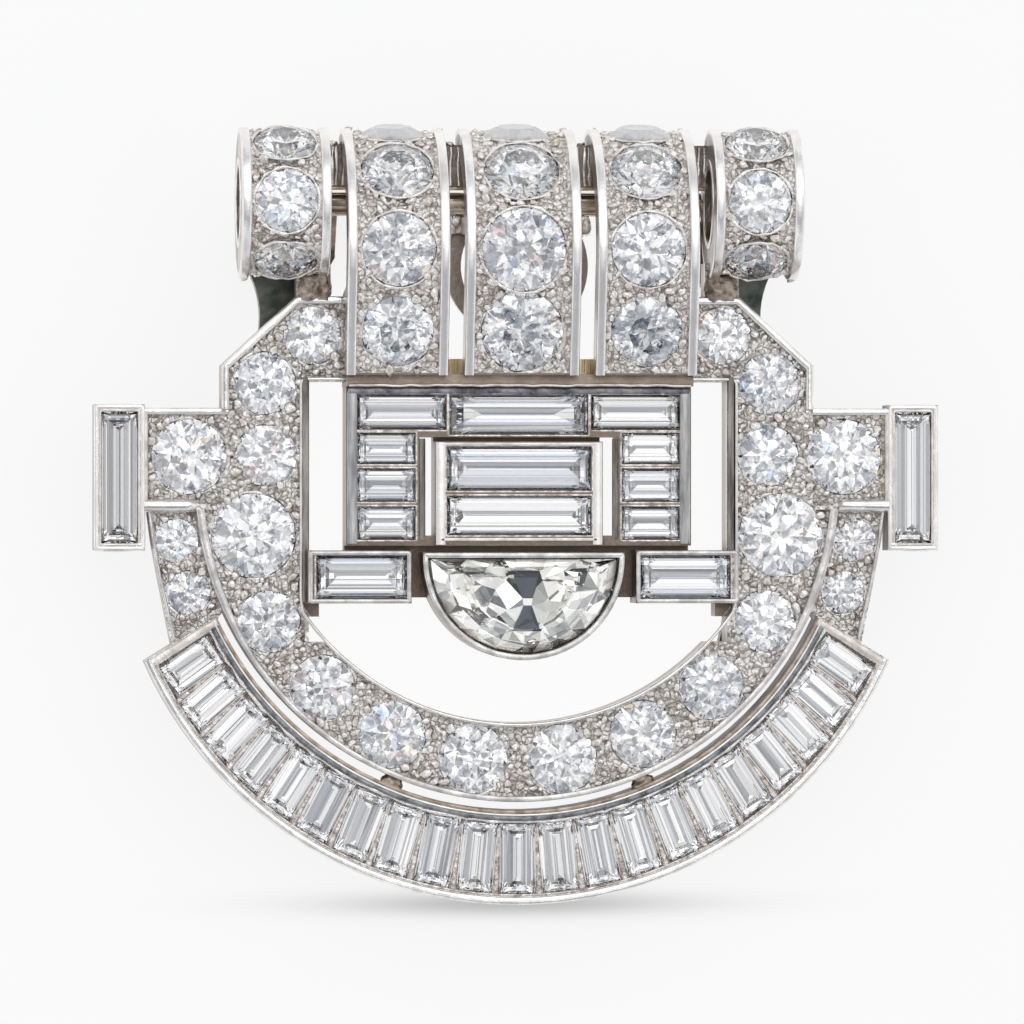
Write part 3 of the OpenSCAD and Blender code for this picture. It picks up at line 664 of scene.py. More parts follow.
def scroll_floor(x, y, z, upwards, facing):
    """1 on the scrolls' outsides, which are set floors all the way round."""
    on_roll = abs(x) > STRAPS_HALF * MM
    back = y - spread(on_roll, CURL_Y * MM, ROLL_Y * MM)
    rise = z - spread(on_roll, CURL_Z * MM, ROLL_Z * MM)
    reach = length(back, rise)
    least = spread(on_roll, (CURL_R - SCROLL_DEPTH) * MM, (ROLL_R - SCROLL_DEPTH) * MM)
    outwards = between((upwards * back + facing * rise) / reach, 0.6, 0.7)
    return (reach > least) * (y > SCROLLS_Y * MM) * outwards


def off_panel_share(x, y):
    """0 on the panel and on the posts inside the opening, which are plain."""
    aside = abs(x)
    outside = past(aside, PANEL_HALF + 0.05, PANEL_HALF + 0.15)
    outside = outside | past(y, *ABOVE_PANEL_Y) | past(y, *BELOW_PANEL_Y)
    centre_y, radius = BAND_INNER
    in_opening = past(length(x, y - centre_y * MM), radius - 0.1, radius - 0.15)
    inner = past(aside, WINDOW_HALF + 0.05, WINDOW_HALF) * past(y, *POSTS_Y) | past(y, *OPENING_Y)
    return outside * (1.0 - in_opening * inner)


def pale_share(x, y):
    """1 in the channels of the arc's and the wings' step-cut stones, which are paler than the set floors."""
    aside = abs(x)
    centre_y, radius = ARC_INNER
    turn = maths("ARCTAN2", aside, FAN_Y * MM - y)
    past_band = past(length(x, y - centre_y * MM), radius + 0.05, radius + 0.15)
    return past_band * (turn < math.radians(FAN_HALF)) | past(aside, BOX_IN - 0.05, BOX_IN + 0.05)


def mount_metal():
    """Cast platinum: rough and grainy on the set floors, with painted brown shade in the recesses, smoother
    on the walls.
    """
    material, place = new_material("worn_platinum")
    x, y, z = parts(place)
    facing = parts(Value(place.socket.node.outputs["Normal"]))
    off_panel = off_panel_share(x, y)
    set_floor = between(facing[2], 0.05, 0.3) * past(z, *SET_FLOOR_Z) * off_panel
    set_floor = set_floor | scroll_floor(x, y, z, *facing[1:])
    # How open each place is, and the small grains, pebbles and brown spots of the cast metal
    cavity = node(place.tree, "ShaderNodeAmbientOcclusion", {"Distance": 0.7 * MM}, "AO", samples=2)
    grain = noise(place, 2600, 5.0, 0.6)
    waver = vectors("MULTIPLY", noise(place, 2400, 2.0, output="Color"), grey(0.35 * MM))
    pebbles = cells({"Vector": vectors("ADD", place, waver), "Scale": 3300}, feature="DISTANCE_TO_EDGE")
    pebble = between(pebbles, 0.0, 0.1)
    # Painted shade: darker and browner where the AO node finds the metal closed in
    open_share = cavity + (noise(place, 1100, 3.0, 0.6) - 0.5) * 0.9
    openness = between(open_share, 0.32, 0.85)
    spots = between(noise(place, 1500, 2.0), 0.46, 0.36) * spread(between(cavity, 0.5, 0.85), 0.0, 0.9)
    lit = spread(between(grain, 0.4, 0.56), 0.3, 1.0) * spread(pebble, 0.62, 1.0) * (1.0 - spots)
    recess = mix(pale_share(x, y), *RECESS_SHADE_AND_SPOT_TONES)
    rough_floor = mix(between(open_share, 0.0, 0.32) * lit, recess, FLOOR_LIT)
    # The streaked walls between the floors, with painted shade where they are closed in, lower down and on
    # the panel's walls
    streaks = noise(place, 1700, 4.0, 0.6, (1.0, 0.2, 1.0))
    plain_light = mix(off_panel, mix(past(z, *PANEL_WALL_Z), *PANEL_SHADE_TONES), WALL_LIGHT)
    plain_share = openness * spread(streaks, 0.3, 1.2) * (past(z, *WALL_Z) | 0.35)
    dressed = mix(set_floor, mix(plain_share, WALL_SHADE, plain_light), rough_floor)
    # The walls right against the stones are painted bright, painted light that makes the stones over them
    # brighter
    painted_seat_light = between(abs(facing[2]), 0.3, 0.1) * between(cavity, 0.14, 0.06) * past(z, *SEAT_Z)
    colour = mix(painted_seat_light, dressed, SEAT_LIGHT)
    relief = bump(grain + pebble * 0.25, 0.00022, spread(set_floor, 0.15, 0.9))
    return metallic(material, colour, spread(openness, 0.5, 0.28), relief)


def clothe(names, material):
    for name in names:
        mesh = NODES[name].data
        mesh.materials.clear()
        mesh.materials.append(material)


# Geometry node trees

def new_tree(name, sockets):
    tree = bpy.data.node_groups.new(name, "GeometryNodeTree")
    for label, kind in {"Geometry": "Geometry", **sockets, "Material": "Material"}.items():
        tree.interface.new_socket(label, in_out="INPUT", socket_type="NodeSocket" + kind)
    tree.interface.new_socket("Geometry", in_out="OUTPUT", socket_type="NodeSocketGeometry")
    given = tree.nodes.new("NodeGroupInput").outputs
    return tree, {socket.name: Value(socket) for socket in given if socket.name}


def finish_tree(tree, geometry, material):
    real = node(tree, "GeometryNodeRealizeInstances", {"Geometry": geometry})
    dressed = node(tree, "GeometryNodeSetMaterial", {"Geometry": real, "Material": material})
    node(tree, "NodeGroupOutput", {"Geometry": dressed})
    return tree


def named(tree, name, kind="FLOAT"):
    return node(tree, "GeometryNodeInputNamedAttribute", {"Name": name}, data_type=kind)


def drawn_vector(seed, low, high):
    inputs = {"Seed": seed, 0: low, 1: high}
    return node(seed.tree, "FunctionNodeRandomValue", inputs, data_type="FLOAT_VECTOR")


def rim_tree():
    """A rounded bar of metal that follows a path, upright along the path's own outward direction."""
    tree, given = new_tree("rim_along_path", {"Width": "Float", "Height": "Float", "Round": "Float"})
    curve = node(tree, "GeometryNodeMeshToCurve", {"Mesh": given["Geometry"]})
    inputs = {"Curve": curve, "Normal": named(tree, "out", "FLOAT_VECTOR")}
    turned = node(tree, "GeometryNodeSetCurveNormal", inputs, mode="FREE")
    inputs = {"Height": given["Width"], "Width": given["Height"]}
    profile = node(tree, "GeometryNodeCurvePrimitiveQuadrilateral", inputs, mode="RECTANGLE")
    inputs = {"Curve": profile, "Radius": given["Round"], "Count": 3, "Limit Radius": True}
    rounded = node(tree, "GeometryNodeFilletCurve", inputs, mode="POLY")
    inputs = {"Curve": turned, "Profile Curve": rounded, "Fill Caps": True, "Scale": named(tree, "swell")}
    swept = node(tree, "GeometryNodeCurveToMesh", inputs)
    smooth = node(tree, "GeometryNodeSetShadeSmooth", {"Geometry": swept})
    return finish_tree(tree, smooth, given["Material"])


def grain_tree():
    """Small round grains of metal, one on each point, turned to the point's outward direction."""
    tree, given = new_tree("grains_on_points", {"Squash": "Float", "Dents": "Float", "Seed": "Int"})
    ball = node(tree, "GeometryNodeMeshUVSphere", {"Segments": 8, "Rings": 4, "Radius": 1.0})
    ball = node(tree, "GeometryNodeSetShadeSmooth", {"Geometry": ball})
    flat = node(tree, "ShaderNodeCombineXYZ", {"X": 1.0, "Y": 1.0, "Z": given["Squash"]})
    ball = node(tree, "GeometryNodeTransform", {"Geometry": ball, "Scale": flat})
    out = named(tree, "out", "FLOAT_VECTOR")
    upright = node(tree, "FunctionNodeAlignRotationToVector", {"Vector": out}, axis="Z")
    spin = drawn_vector(given["Seed"], (-0.35, -0.35, 0.0), (0.35, 0.35, math.tau))
    twist = node(tree, "FunctionNodeEulerToRotation", {"Euler": spin})
    inputs = {"Rotation": upright, "Rotate By": twist}
    turned = node(tree, "FunctionNodeRotateRotation", inputs, rotation_space="LOCAL")
    shape = drawn_vector(given["Seed"], (0.75, 0.6, 0.7), (1.35, 1.05, 1.2))
    size = vectors("SCALE", shape, Scale=named(tree, "size"))
    inputs = {"Points": given["Geometry"], "Instance": ball, "Rotation": turned, "Scale": size}
    placed = node(tree, "GeometryNodeInstanceOnPoints", inputs)
    real = node(tree, "GeometryNodeRealizeInstances", {"Geometry": placed})
    rough = node(tree, "ShaderNodeTexNoise", {"Scale": 5200.0, "Detail": 1.0}, "Color")
    shift = vectors("SCALE", vectors("SUBTRACT", rough, grey(0.5)), Scale=given["Dents"])
    dented = node(tree, "GeometryNodeSetPosition", {"Geometry": real, "Offset": shift})
    return finish_tree(tree, dented, given["Material"])


def grow(name, seed_mesh, tree, values, body="brooch"):
    """Runs a tree on a mesh and keeps the result as a plain piece on a body."""
    piece = add_object(name, seed_mesh)
    modifier = piece.modifiers.new("grow", "NODES")
    modifier.node_group = tree
    for item in tree.interface.items_tree:
        if item.in_out == "INPUT" and item.name in values:
            modifier[item.identifier] = values[item.name]
    keep_modified(piece)
    piece.data.name = name
    on_body(piece, body)


# Paths: points, outward directions, whether the path closes on itself, and the bar's swell at each point

def path(points, out=UP, closed=False, swells=None):
    points = [Vector(point) for point in points]
    outs = out if isinstance(out, list) else [out] * len(points)
    return points, outs, closed, swells or [1.0] * len(points)


def flat_path(points, z, closed=False):
    return path([(x, y, z) for x, y in points], UP, closed)


def both_sides(points, z, closed=False):
    mirrored = [(-x, y) for x, y in reversed(points)]
    return [flat_path(points, z, closed), flat_path(mirrored, z, closed)]


def path_mesh(name, paths):
    """Paths as loose edges, each point with its outward direction and its swell."""
    points = []
    outs = []
    swells = []
    edges = []
    for line, out, closed, swell in paths:
        start = len(points)
        points += [point * MM for point in line]
        outs += out
        swells += swell
        edges += [(start + i, start + i + 1) for i in range(len(line) - 1)]
        if closed:
            edges.append((len(points) - 1, start))
    mesh = bpy.data.meshes.new(name)
    mesh.from_pydata(points, edges, [])
    store(mesh, "out", outs, "FLOAT_VECTOR")
    store(mesh, "swell", swells)
    return mesh


def store(mesh, name, values, kind="FLOAT"):
    layer = mesh.attributes.new(name, kind, "POINT")
    if kind == "FLOAT":
        layer.data.foreach_set("value", values)
    else:
        layer.data.foreach_set("vector", [number for value in values for number in value])


NEARLY_STRAIGHT = math.radians(176)
SIDE_SHARE = 0.45


def softened(points, radius, closed=False, steps=4):
    """The same outline with its corners rounded."""
    made = []
    count = len(points)
    for index, here in enumerate(points):
        here = Vector(here)
        before = Vector(points[index - 1]) - here
        after = Vector(points[(index + 1) % count]) - here
        at_end = not closed and index in (0, count - 1)
        if at_end or before.angle(after) > NEARLY_STRAIGHT:
            made.append(here)
            continue
        reach = radius / math.tan(before.angle(after) / 2)
        reach = min(reach, before.length * SIDE_SHARE, after.length * SIDE_SHARE)
        start = here + before.normalized() * reach
        end = here + after.normalized() * reach
        for step in range(steps + 1):
            share = step / steps
            made.append((start.lerp(here, share)).lerp(here.lerp(end, share), share))
    return [tuple(point) for point in made]


def box_outline(left, right, bottom, top):
    return [(left, bottom), (right, bottom), (right, top), (left, top)]


def round_points(centre_y, radius, start, end, steps):
    """Points of an arc about the middle line, by the angle from straight down, towards +X."""
    made = []
    for step in range(steps + 1):
        angle = math.radians(start + (end - start) * step / steps)
        made.append((radius * math.sin(angle), centre_y - radius * math.cos(angle)))
    return made


def fan_point(angle, edge, inwards):
    """Point of one of the arc's edges, moved by a wall, at an angle from straight down at the fan's point."""
    centre_y, radius = edge
    radius += inwards
    angle = math.radians(angle)
    drop = FAN_Y - centre_y
    reach = drop * math.cos(angle) + math.sqrt(radius ** 2 - (drop * math.sin(angle)) ** 2)
    return (reach * math.sin(angle), FAN_Y - reach * math.cos(angle))


def tipped(turn):
    """Direction at an angle from straight up, towards +Y."""
    return Vector((0, math.sin(turn), math.cos(turn)))


def roof_paths(e):
    """The frame's outer edge above the wings, drawn in by e."""
    slope = Vector((FRAME_SHOULDER - FRAME_TOP, FRAME_FLAT - FRAME_HALF))
    nx = -slope[0] / slope.length
    ny = -slope[1] / slope.length
    reach = nx * FRAME_FLAT + ny * FRAME_TOP - e
    side = FRAME_HALF - e
    top = FRAME_TOP - e
    shoulder = (reach - nx * side) / ny
    flat = (reach - ny * top) / nx
    roof = [(FRAME_CUT + 0.1, top), (flat, top), (side, shoulder), (side, WING_TOP - 0.05)]
    return both_sides(softened(roof, 0.25), RIM_Z - 0.05)


def band_outer_paths(half_width):
    """The round band's outer rim: wider beside the side strips, narrow under the arc."""
    centre_y, radius = BAND_OUTER
    start = math.degrees(math.acos((centre_y - WING_BOTTOM - 0.1) / (radius - half_width)))
    points = []
    swells = []
    steps = 120
    for step in range(steps + 1):
        angle = -start + 2 * start * step / steps
        swell = 1 + 0.55 * min(1, max(0, (abs(angle) - 55) / 14))
        reach = radius - half_width * swell
        turn = math.radians(angle)
        points.append((reach * math.sin(turn), centre_y - reach * math.cos(turn), RIM_Z - 0.06))
        swells.append(swell)
    return [path(points, swells=swells)]


def window_rim_paths(left, right):
    """The light rim round the opening, which stands back from the edge on the left and right."""
    centre_y, radius = BAND_INNER
    e = 0.09
    turn = math.degrees(math.asin((WINDOW_HALF + 0.3) / (radius + e)))
    bottom = round_points(centre_y, radius + e, -turn, turn, 72)
    a = -WINDOW_HALF - left
    b = WINDOW_HALF + right
    top = WINDOW_TOP + 0.12
    inside = [(-FRAME_CUT - 0.1, top), (a, top), (a, -2.6), (a, -4.2), *bottom, (b, -4.2), (b, -2.6),
              (b, top), (FRAME_CUT + 0.1, top)]
    return [flat_path(softened(inside, 0.3), RIM_Z - 0.05)]


def bevel_paths(left, right, rows, z, tilt):
    """Bevels painted dark, painted shade, on both sides of an opening, leaning into it."""
    for side, x in zip(SIDES, (left, right)):
        out = Vector((math.sin(math.radians(-side * tilt)), 0, 1)).normalized()
        yield path([(side * x, y, z) for y in rows], out)


def wing_bar_paths():
    """The polished bar under each wing, drawn to a point where it meets the frame."""
    for side in SIDES:
        points = [(side * x, WING_BOTTOM + 0.3, RIM_Z - WING_DROP - 0.1) for x in (15.9, 16.15, 16.5, 18.7)]
        yield path(points, swells=[0.35, 0.8, 1.0, 1.0])


def box_paths(inset):
    box = box_outline(BOX_IN + inset, BOX_OUT - inset, BOX_BOTTOM + inset, BOX_TOP - inset)
    return both_sides(softened(box, 0.12, True), RIM_Z - 0.2 - 0.04, True)


BOX_CAPS = ((BOX_TOP - 0.14, 18.8, 21.05), (BOX_BOTTOM + 0.1, 19.2, 21.05), (BOX_BOTTOM + 0.28, 18.7, 19.15))


def box_cap_paths():
    """The bright caps at the top and bottom of each wing's box, and the small tab beside the lower one."""
    for side in SIDES:
        for y, inner, outer in BOX_CAPS:
            points = [(side * (inner + (outer - inner) * step / 4), y, RIM_Z - 0.3) for step in range(5)]
            yield path(points, swells=[0.7, 0.95, 1.0, 0.95, 0.7])


def arc_paths(edge, inwards, z):
    half = FAN_HALF - 0.2
    steps = 90
    points = [fan_point(-half + 2 * half * step / steps, edge, inwards) for step in range(steps + 1)]
    return [flat_path(points, z)]


def uneven(paths, seed, shake, thin, thick):
    """The same paths, shaken and swelling unevenly."""
    draw = random.Random(seed)
    for points, outs, closed, swells in paths:
        points = [point + Vector([draw.uniform(-shake, shake) for axis in range(3)]) for point in points]
        yield points, outs, closed, [draw.uniform(thin, thick) for swell in swells]


def panel_top_paths(y, z, wave):
    draw = random.Random(3)
    points = []
    for step in range(40):
        x = -PANEL_HALF + 0.1 + (2 * PANEL_HALF - 0.2) * step / 39
        points.append((x, y + draw.uniform(-wave, wave)))
    return [flat_path(points, z)]


def block_edge_paths():
    half = BLOCK_HALF - 0.3
    rows = ((BLOCK_TOP - 0.13, 0.17), (PANEL_BOTTOM + 0.3, 0.2), (PANEL_BOTTOM + 0.08, 0.14))
    return [flat_path([(-half, y), (half, y)], PANEL_Z + z) for y, z in rows]


def shifted(paths):
    """The same paths, moved over as the lower row is."""
    step = Vector((LOWER_SHIFT, 0, 0))
    return [([point + step for point in points], *rest) for points, *rest in paths]


def flank_paths(inset):
    left, right, bottom, top = FLANK
    box = box_outline(left + inset, right - inset, bottom + inset, top - inset)
    return shifted(both_sides(softened(box, 0.1, True), LOWER_Z - 0.05, True))


def moon_paths(out):
    """Round the half-moon, out from its edge."""
    radius = MOON_R + out
    start = math.degrees(math.acos(-out / radius))
    bow = round_points(MOON_Y, radius, -start, start, 48)
    return shifted([flat_path(softened([*bow, (0, MOON_Y + out)], 0.05, True), LOWER_Z - 0.05, True)])


def stone_edge_paths(stones, out, lift):
    """Round each baguette, out from its girdle."""
    for found in stones:
        a, b = found.half
        flat = softened(box_outline(-a - out, a + out, -b - out, b + out), 0.06, True, 2)
        middle = found.middle + found.out * lift
        points = [middle + found.along * x + found.across * y for x, y in flat]
        yield path(points, found.out, True)


def collar_paths(stones):
    """The uneven edge of metal pressed round each round stone."""
    draw = random.Random(11)
    steps = 30
    for found in stones:
        points = []
        swells = []
        for step in range(steps):
            turn = math.tau * step / steps
            reach = found.half[0] + 0.06 + draw.uniform(-0.025, 0.03)
            side = found.along * math.cos(turn) + found.across * math.sin(turn)
            points.append(found.middle + side * reach + found.out * draw.uniform(-0.02, 0.06))
            swells.append(draw.uniform(0.3, 1.5))
        yield path(points, found.out, True, swells)


def strap_path(x, height):
    """Side rim of a strap, from behind the top to the lower end, at a height over the rim's face."""
    steps = 40
    turns = [STRAP_BACK - (STRAP_BACK + STRAP_SLOPE) * step / steps for step in range(steps + 1)]
    outs = [tipped(math.radians(turn)) for turn in turns]
    points = [Vector((x, CURL_Y, CURL_Z)) + out * (CURL_R + height) for out in outs]
    last = points[-1]
    drop = (last.y - STRAP_END - 0.02) * math.tan(math.radians(STRAP_SLOPE))
    points.append((x, STRAP_END + 0.02, last.z - drop))
    return path(points, outs + [outs[-1]])


def roll_path(x, height):
    outs = [tipped(math.radians(step * 5)) for step in range(72)]
    points = [Vector((x, ROLL_Y, ROLL_Z)) + out * (ROLL_R + height) for out in outs]
    return path(points, outs, True)


def scroll_paths(height):
    for scrolls, scroll_path in ((STRAPS, strap_path), (ROLLS, roll_path)):
        for middle, half in scrolls:
            for side in SIDES:
                yield scroll_path(middle + side * (half - SIDE_RIM / 2), height)


def bar_rib_paths():
    """Rough upright file marks on the bar across the back."""
    draw = random.Random(17)
    for step in range(64):
        middle = RIB_X + RIB_PITCH * step + draw.uniform(-0.06, 0.06)
        points = []
        swells = []
        for stop in range(6):
            x = middle + draw.uniform(-0.04, 0.04)
            points.append((x, BAR_Y + 0.39 * stop, BAR_Z + draw.uniform(-0.02, 0.02)))
            swells.append(draw.uniform(0.5, 1.5))
        yield path(points, swells=swells)


def rail_rib_paths():
    """Ribs across the gold rail where it shows beside the middle strap."""
    places = [side * (2.75 + 0.3 * step) for side in SIDES for step in range(5)]
    return [flat_path([(x, y) for y in RAIL_Y], RAIL_Z) for x in places]


def bore_paths():
    """The rounded lip of the bore on both ends of each roll."""
    for middle, half in ROLLS:
        for side in SIDES:
            points = []
            for step in range(48):
                turn = math.tau * step / 48
                y = ROLL_Y + BORE_R * math.sin(turn)
                points.append((middle + side * half, y, ROLL_Z + BORE_R * math.cos(turn)))
            yield path(points, Vector((side, 0, 0)), True)


def tube_line_paths():
    """Seams along the clip's tube."""
    for turn in (-62, -18, 20, 55):
        out = tipped(math.radians(turn))
        middle = Vector((0, TUBE_Y, TUBE_Z)) + out * TUBE_R
        yield path([middle + Vector((side * TUBE_HALF, 0, 0)) for side in SIDES], out)


# Stones: what the CAD nodes say of each

SAME_PLACE = 2e-6
SEAM = 1e-7
# Middle of the girdle, outward, long and short directions, and half sizes
Stone = namedtuple("Stone", "middle out along across half")


def stones_in(names):
    stones = []
    for name in names:
        work = bmesh.new()
        work.from_mesh(NODES[name].data)
        bmesh.ops.remove_doubles(work, verts=work.verts, dist=SEAM)
        seen = set()
        for seed in work.verts:
            if seed in seen:
                continue
            seen.add(seed)
            group = [seed]
            for vert in group:
                for edge in vert.link_edges:
                    other = edge.other_vert(vert)
                    if other not in seen:
                        seen.add(other)
                        group.append(other)
            stones.append(measured(group))
        work.free()
    return stones


def rounded_normal(face):
    return tuple(round(number, 2) for number in face.normal)


def measured(group):
    faces = {face.index: face for vert in group for face in vert.link_faces}
    planes = {}
    for face in faces.values():
        key = rounded_normal(face)
        planes[key] = planes.get(key, Vector((0, 0, 0))) + face.normal * face.calc_area()
    out = max(planes.values(), key=lambda plane: plane.length).normalized()
    top = max(vert.co.dot(out) for vert in group)
    table = [vert for vert in group if top - vert.co.dot(out) < SAME_PLACE]
    edges = [edge for vert in table for edge in vert.link_edges if edge.other_vert(vert) in table]
    edges = [edge for edge in edges if len({rounded_normal(face) for face in edge.link_faces}) > 1]
    longest = max(edges, key=lambda edge: edge.calc_length())
    along = (longest.verts[1].co - longest.verts[0].co).normalized()
    across = out.cross(along)
    spans = []
    for direction in (along, across):
        reach = [vert.co.dot(direction) for vert in group]
        spans.append((min(reach), max(reach)))
    half = [(high - low) / 2 / MM for low, high in spans]
    girdle = max(vert.co.dot(out) for vert in group if abs(vert.co.dot(along) - spans[0][1]) < SAME_PLACE)
    middle = along * sum(spans[0]) / 2 + across * sum(spans[1]) / 2 + out * girdle
    return Stone(middle / MM, out, along, across, half)


# The half-moon's facets as seen through its table: a thin plate inside the stone

MOON_GIRDLE = 5.95
MOON_BACK = MOON_GIRDLE - 0.3
MOON_CROWN = ((1.0, -0.1), (0.8, 0.33), (0.56, 0.6), (0.0, 0.6))
MOON_RELIEF = 0.16
MOON_HUB = Vector((LOWER_SHIFT, MOON_Y - 0.42 * MOON_R))
MOON_CLEARANCE = 0.42
MOON_RINGS = ((0.97, 1, 0.0), (0.84, 1, 0.5), (0.66, 1, 0.0), (0.45, 2, 0.5), (0.3, 4, 0.5))
# The two facets painted dark in the middle, painted shade
BOW_TIE = (
    ((-0.45, -2.875), (0.95, -2.875), (0.6, -4.225), (0.1, -4.225)),
    ((0.15, -4.575), (0.55, -4.575), (1.0, -5.825), (-0.4, -5.825)),
)


def moon_outline():
    turns = [math.radians(-90 + 12 * i) for i in range(16)]
    arc = [(MOON_R * math.sin(turn), -MOON_R * math.cos(turn)) for turn in turns]
    flat = [(MOON_R * share, 0.0) for share in (0.62, 0.22, -0.22, -0.62)]
    return [Vector((x + LOWER_SHIFT, y + MOON_Y)) for x, y in arc + flat]


def under_crown(place):
    """Height just below the stone's crown at a place."""
    step = place - MOON_HUB
    way = step.normalized() if step.length > 1e-6 else Vector((0, -1))
    rise = MOON_HUB.y - MOON_Y
    edge = -way.y * rise + math.sqrt((way.y * rise) ** 2 + MOON_R ** 2 - rise ** 2)
    if way.y > 1e-6:
        edge = min(edge, -rise / way.y)
    share = min(1.0, step.length / edge)
    for (outer, low), (inner, high) in zip(MOON_CROWN, MOON_CROWN[1:]):
        if share >= inner:
            return MOON_GIRDLE + low + (high - low) * (outer - share) / (outer - inner)
    return MOON_GIRDLE


def moon_facets(name, light, dark):
    """Uneven facets round two dark ones, painted shade, that meet in the middle."""
    draw = random.Random(31)
    outline = moon_outline()
    corners = [Vector(corner) for tie in BOW_TIE for corner in tie]
    places = list(corners)
    edges = [(4 * tie + i, 4 * tie + (i + 1) % 4) for tie in range(2) for i in range(4)]
    for share, every, on in MOON_RINGS:
        for index in range(0, len(outline), every):
            half = outline[index].lerp(outline[(index + 1) % len(outline)], on)
            place = MOON_HUB.lerp(half, share * draw.uniform(0.95, 1.03) if share < 0.9 else share)
            if all((place - corner).length > MOON_CLEARANCE for corner in corners):
                places.append(place)
    points, _, faces, *_ = delaunay_2d_cdt(places, edges, [], 0, 1e-6)
    work = bmesh.new()
    top = []
    for index, point in enumerate(points):
        rise = 0.0 if index < len(corners) else draw.uniform(-0.5, 0.5) * MOON_RELIEF
        top.append(work.verts.new(Vector((point.x, point.y, under_crown(point) + rise)) * MM))
    base = [work.verts.new(Vector((point.x, point.y, MOON_BACK)) * MM) for point in points]
    for face in faces:
        middle = sum((points[i] for i in face), Vector((0, 0))) / len(face)
        work.faces.new([top[i] for i in face]).material_index = in_bow_tie(middle)
        work.faces.new([base[i] for i in reversed(face)])
    pair = dict(zip(top, base))
    for edge in [edge for edge in work.edges if edge.is_boundary and edge.verts[0] in pair]:
        first, second = edge.verts
        work.faces.new((first, second, pair[second], pair[first]))
    bmesh.ops.recalc_face_normals(work, faces=work.faces)
    on_body(add_object(name, mesh_from(work, name, light, dark)))


def in_bow_tie(place):
    for (left, top), (right, _), (right_end, low), (left_end, _) in BOW_TIE:
        if low < place.y < top:
            share = (place.y - top) / (low - top)
            if left + (left_end - left) * share < place.x < right + (right_end - right) * share:
                return 1
    return 0


# Grains

GRAIN_CELL = 0.6
GRAIN_SHIFTS = [(i, j, k) for i in (-1, 0, 1) for j in (-1, 0, 1) for k in (-1, 0, 1)]
GRAIN_APART = 0.72
GRAIN_SIZES = ((60, 0.2, 0.31), (45, 0.13, 0.2), (16, 0.08, 0.12))
SCROLL_FOOT = 1.9
STRAP_Y = 7.9
PROBE_RISE = 1.5
PROBE_DEPTH = 2.6
LEAST_FACING = 0.6
CURVE_DROP = -1.1


class GrainBed:
    """Finds room for grains on the set floors round the stones, by looking straight down on the mount."""

    def __init__(self, stones):
        mesh = NODES["mount"].data
        points = [vert.co / MM for vert in mesh.vertices]
        self.metal = BVHTree.FromPolygons(points, [tuple(face.vertices) for face in mesh.polygons])
        self.stones = stones
        self.grains = []
        self.cells = {}

    def clear_of_stones(self, point, room):
        for found in self.stones:
            step = point - found.middle
            height = step.dot(found.out)
            if abs(height) <= 1.5 and (step - found.out * height).length < found.half[0] + room:
                return False
        return True

    def cell_of(self, point):
        return tuple(math.floor(number / GRAIN_CELL) for number in point)

    def clear_of_grains(self, point, size):
        home = self.cell_of(point)
        for shift in GRAIN_SHIFTS:
            cell = tuple(home[i] + shift[i] for i in range(3))
            for other, other_size in self.cells.get(cell, ()):
                if (point - other).length < (size + other_size) * GRAIN_APART:
                    return False
        return True

    def off_rims(self, point, size):
        """False on the scrolls' side rims and lower ends, and on the smooth wall over the panel."""
        if -6.5 < point.y < 7.05 and abs(point.x) < PANEL_HALF + 0.1:
            return False
        if point.y > CURL_Y and point.z < SCROLL_FOOT:
            return False
        for middle, half in STRAPS + ROLLS:
            away = abs(point.x - middle)
            if point.y > STRAP_END and half - SIDE_RIM - size * 0.9 < away < half + 0.3 and point.z > 5.2:
                return False
        return True

    def try_grain(self, found, angle, distance, size, room):
        out = found.out
        offset = found.along * math.cos(angle) + found.across * math.sin(angle)
        point = found.middle + offset * (found.half[0] + distance)
        hit, normal, *_ = self.metal.ray_cast(point + out * PROBE_RISE, -out, PROBE_DEPTH)
        if hit is None or normal.dot(out) < LEAST_FACING:
            return
        height = (hit - found.middle).dot(out)
        curved = abs(out.z) < 0.99 or found.middle.y > STRAP_Y and abs(found.middle.x) < STRAPS_HALF
        lowest = CURVE_DROP if curved else 0.02
        if not lowest < height < GIRDLE_SINK + 0.07:
            return
        if not self.clear_of_stones(hit, room) or not self.clear_of_grains(hit, size):
            return
        if not self.off_rims(hit, size) or not self.level_round(hit, normal, size * 0.9):
            return
        self.grains.append((hit, normal, size))
        self.cells.setdefault(self.cell_of(hit), []).append((hit, size))

    def level_round(self, hit, normal, reach):
        """True if the floor runs on round a grain, with no rim or edge under it."""
        side = normal.orthogonal().normalized()
        for turn in range(6):
            offset = Matrix.Rotation(turn * math.pi / 3, 3, normal) @ side * reach
            found = self.metal.ray_cast(hit + offset + normal * 0.6, -normal, 1.0)[0]
            if found is not None and (found - hit).dot(normal) > 0.08:
                return False
        return True


def lay_grains(stones):
    bed = GrainBed(stones)
    draw = random.Random(7)
    for found in stones:
        count = 12 if found.half[0] > 1.3 else 8
        turn = draw.random()
        for index in range(count):
            angle = (index + turn + draw.uniform(-0.35, 0.35)) / count * math.tau
            bed.try_grain(found, angle, draw.uniform(0.06, 0.2), draw.uniform(0.17, 0.3), 0.0)
    for tries, small, large in GRAIN_SIZES:
        for found in stones:
            for index in range(tries):
                angle = draw.uniform(0, math.tau)
                bed.try_grain(found, angle, draw.uniform(0.1, 1.3), draw.uniform(small, large), 0.03)
    return bed.grains


def grains_mesh(name, grains):
    mesh = bpy.data.meshes.new(name)
    mesh.from_pydata([(hit + out * size * 0.1) * MM for hit, out, size in grains], [], [])
    store(mesh, "out", [out for hit, out, size in grains], "FLOAT_VECTOR")
    store(mesh, "size", [size * MM for hit, out, size in grains])
    return mesh


# Wedges of metal between the arc's baguettes, lumps of solder, and the clip with its edges worn round

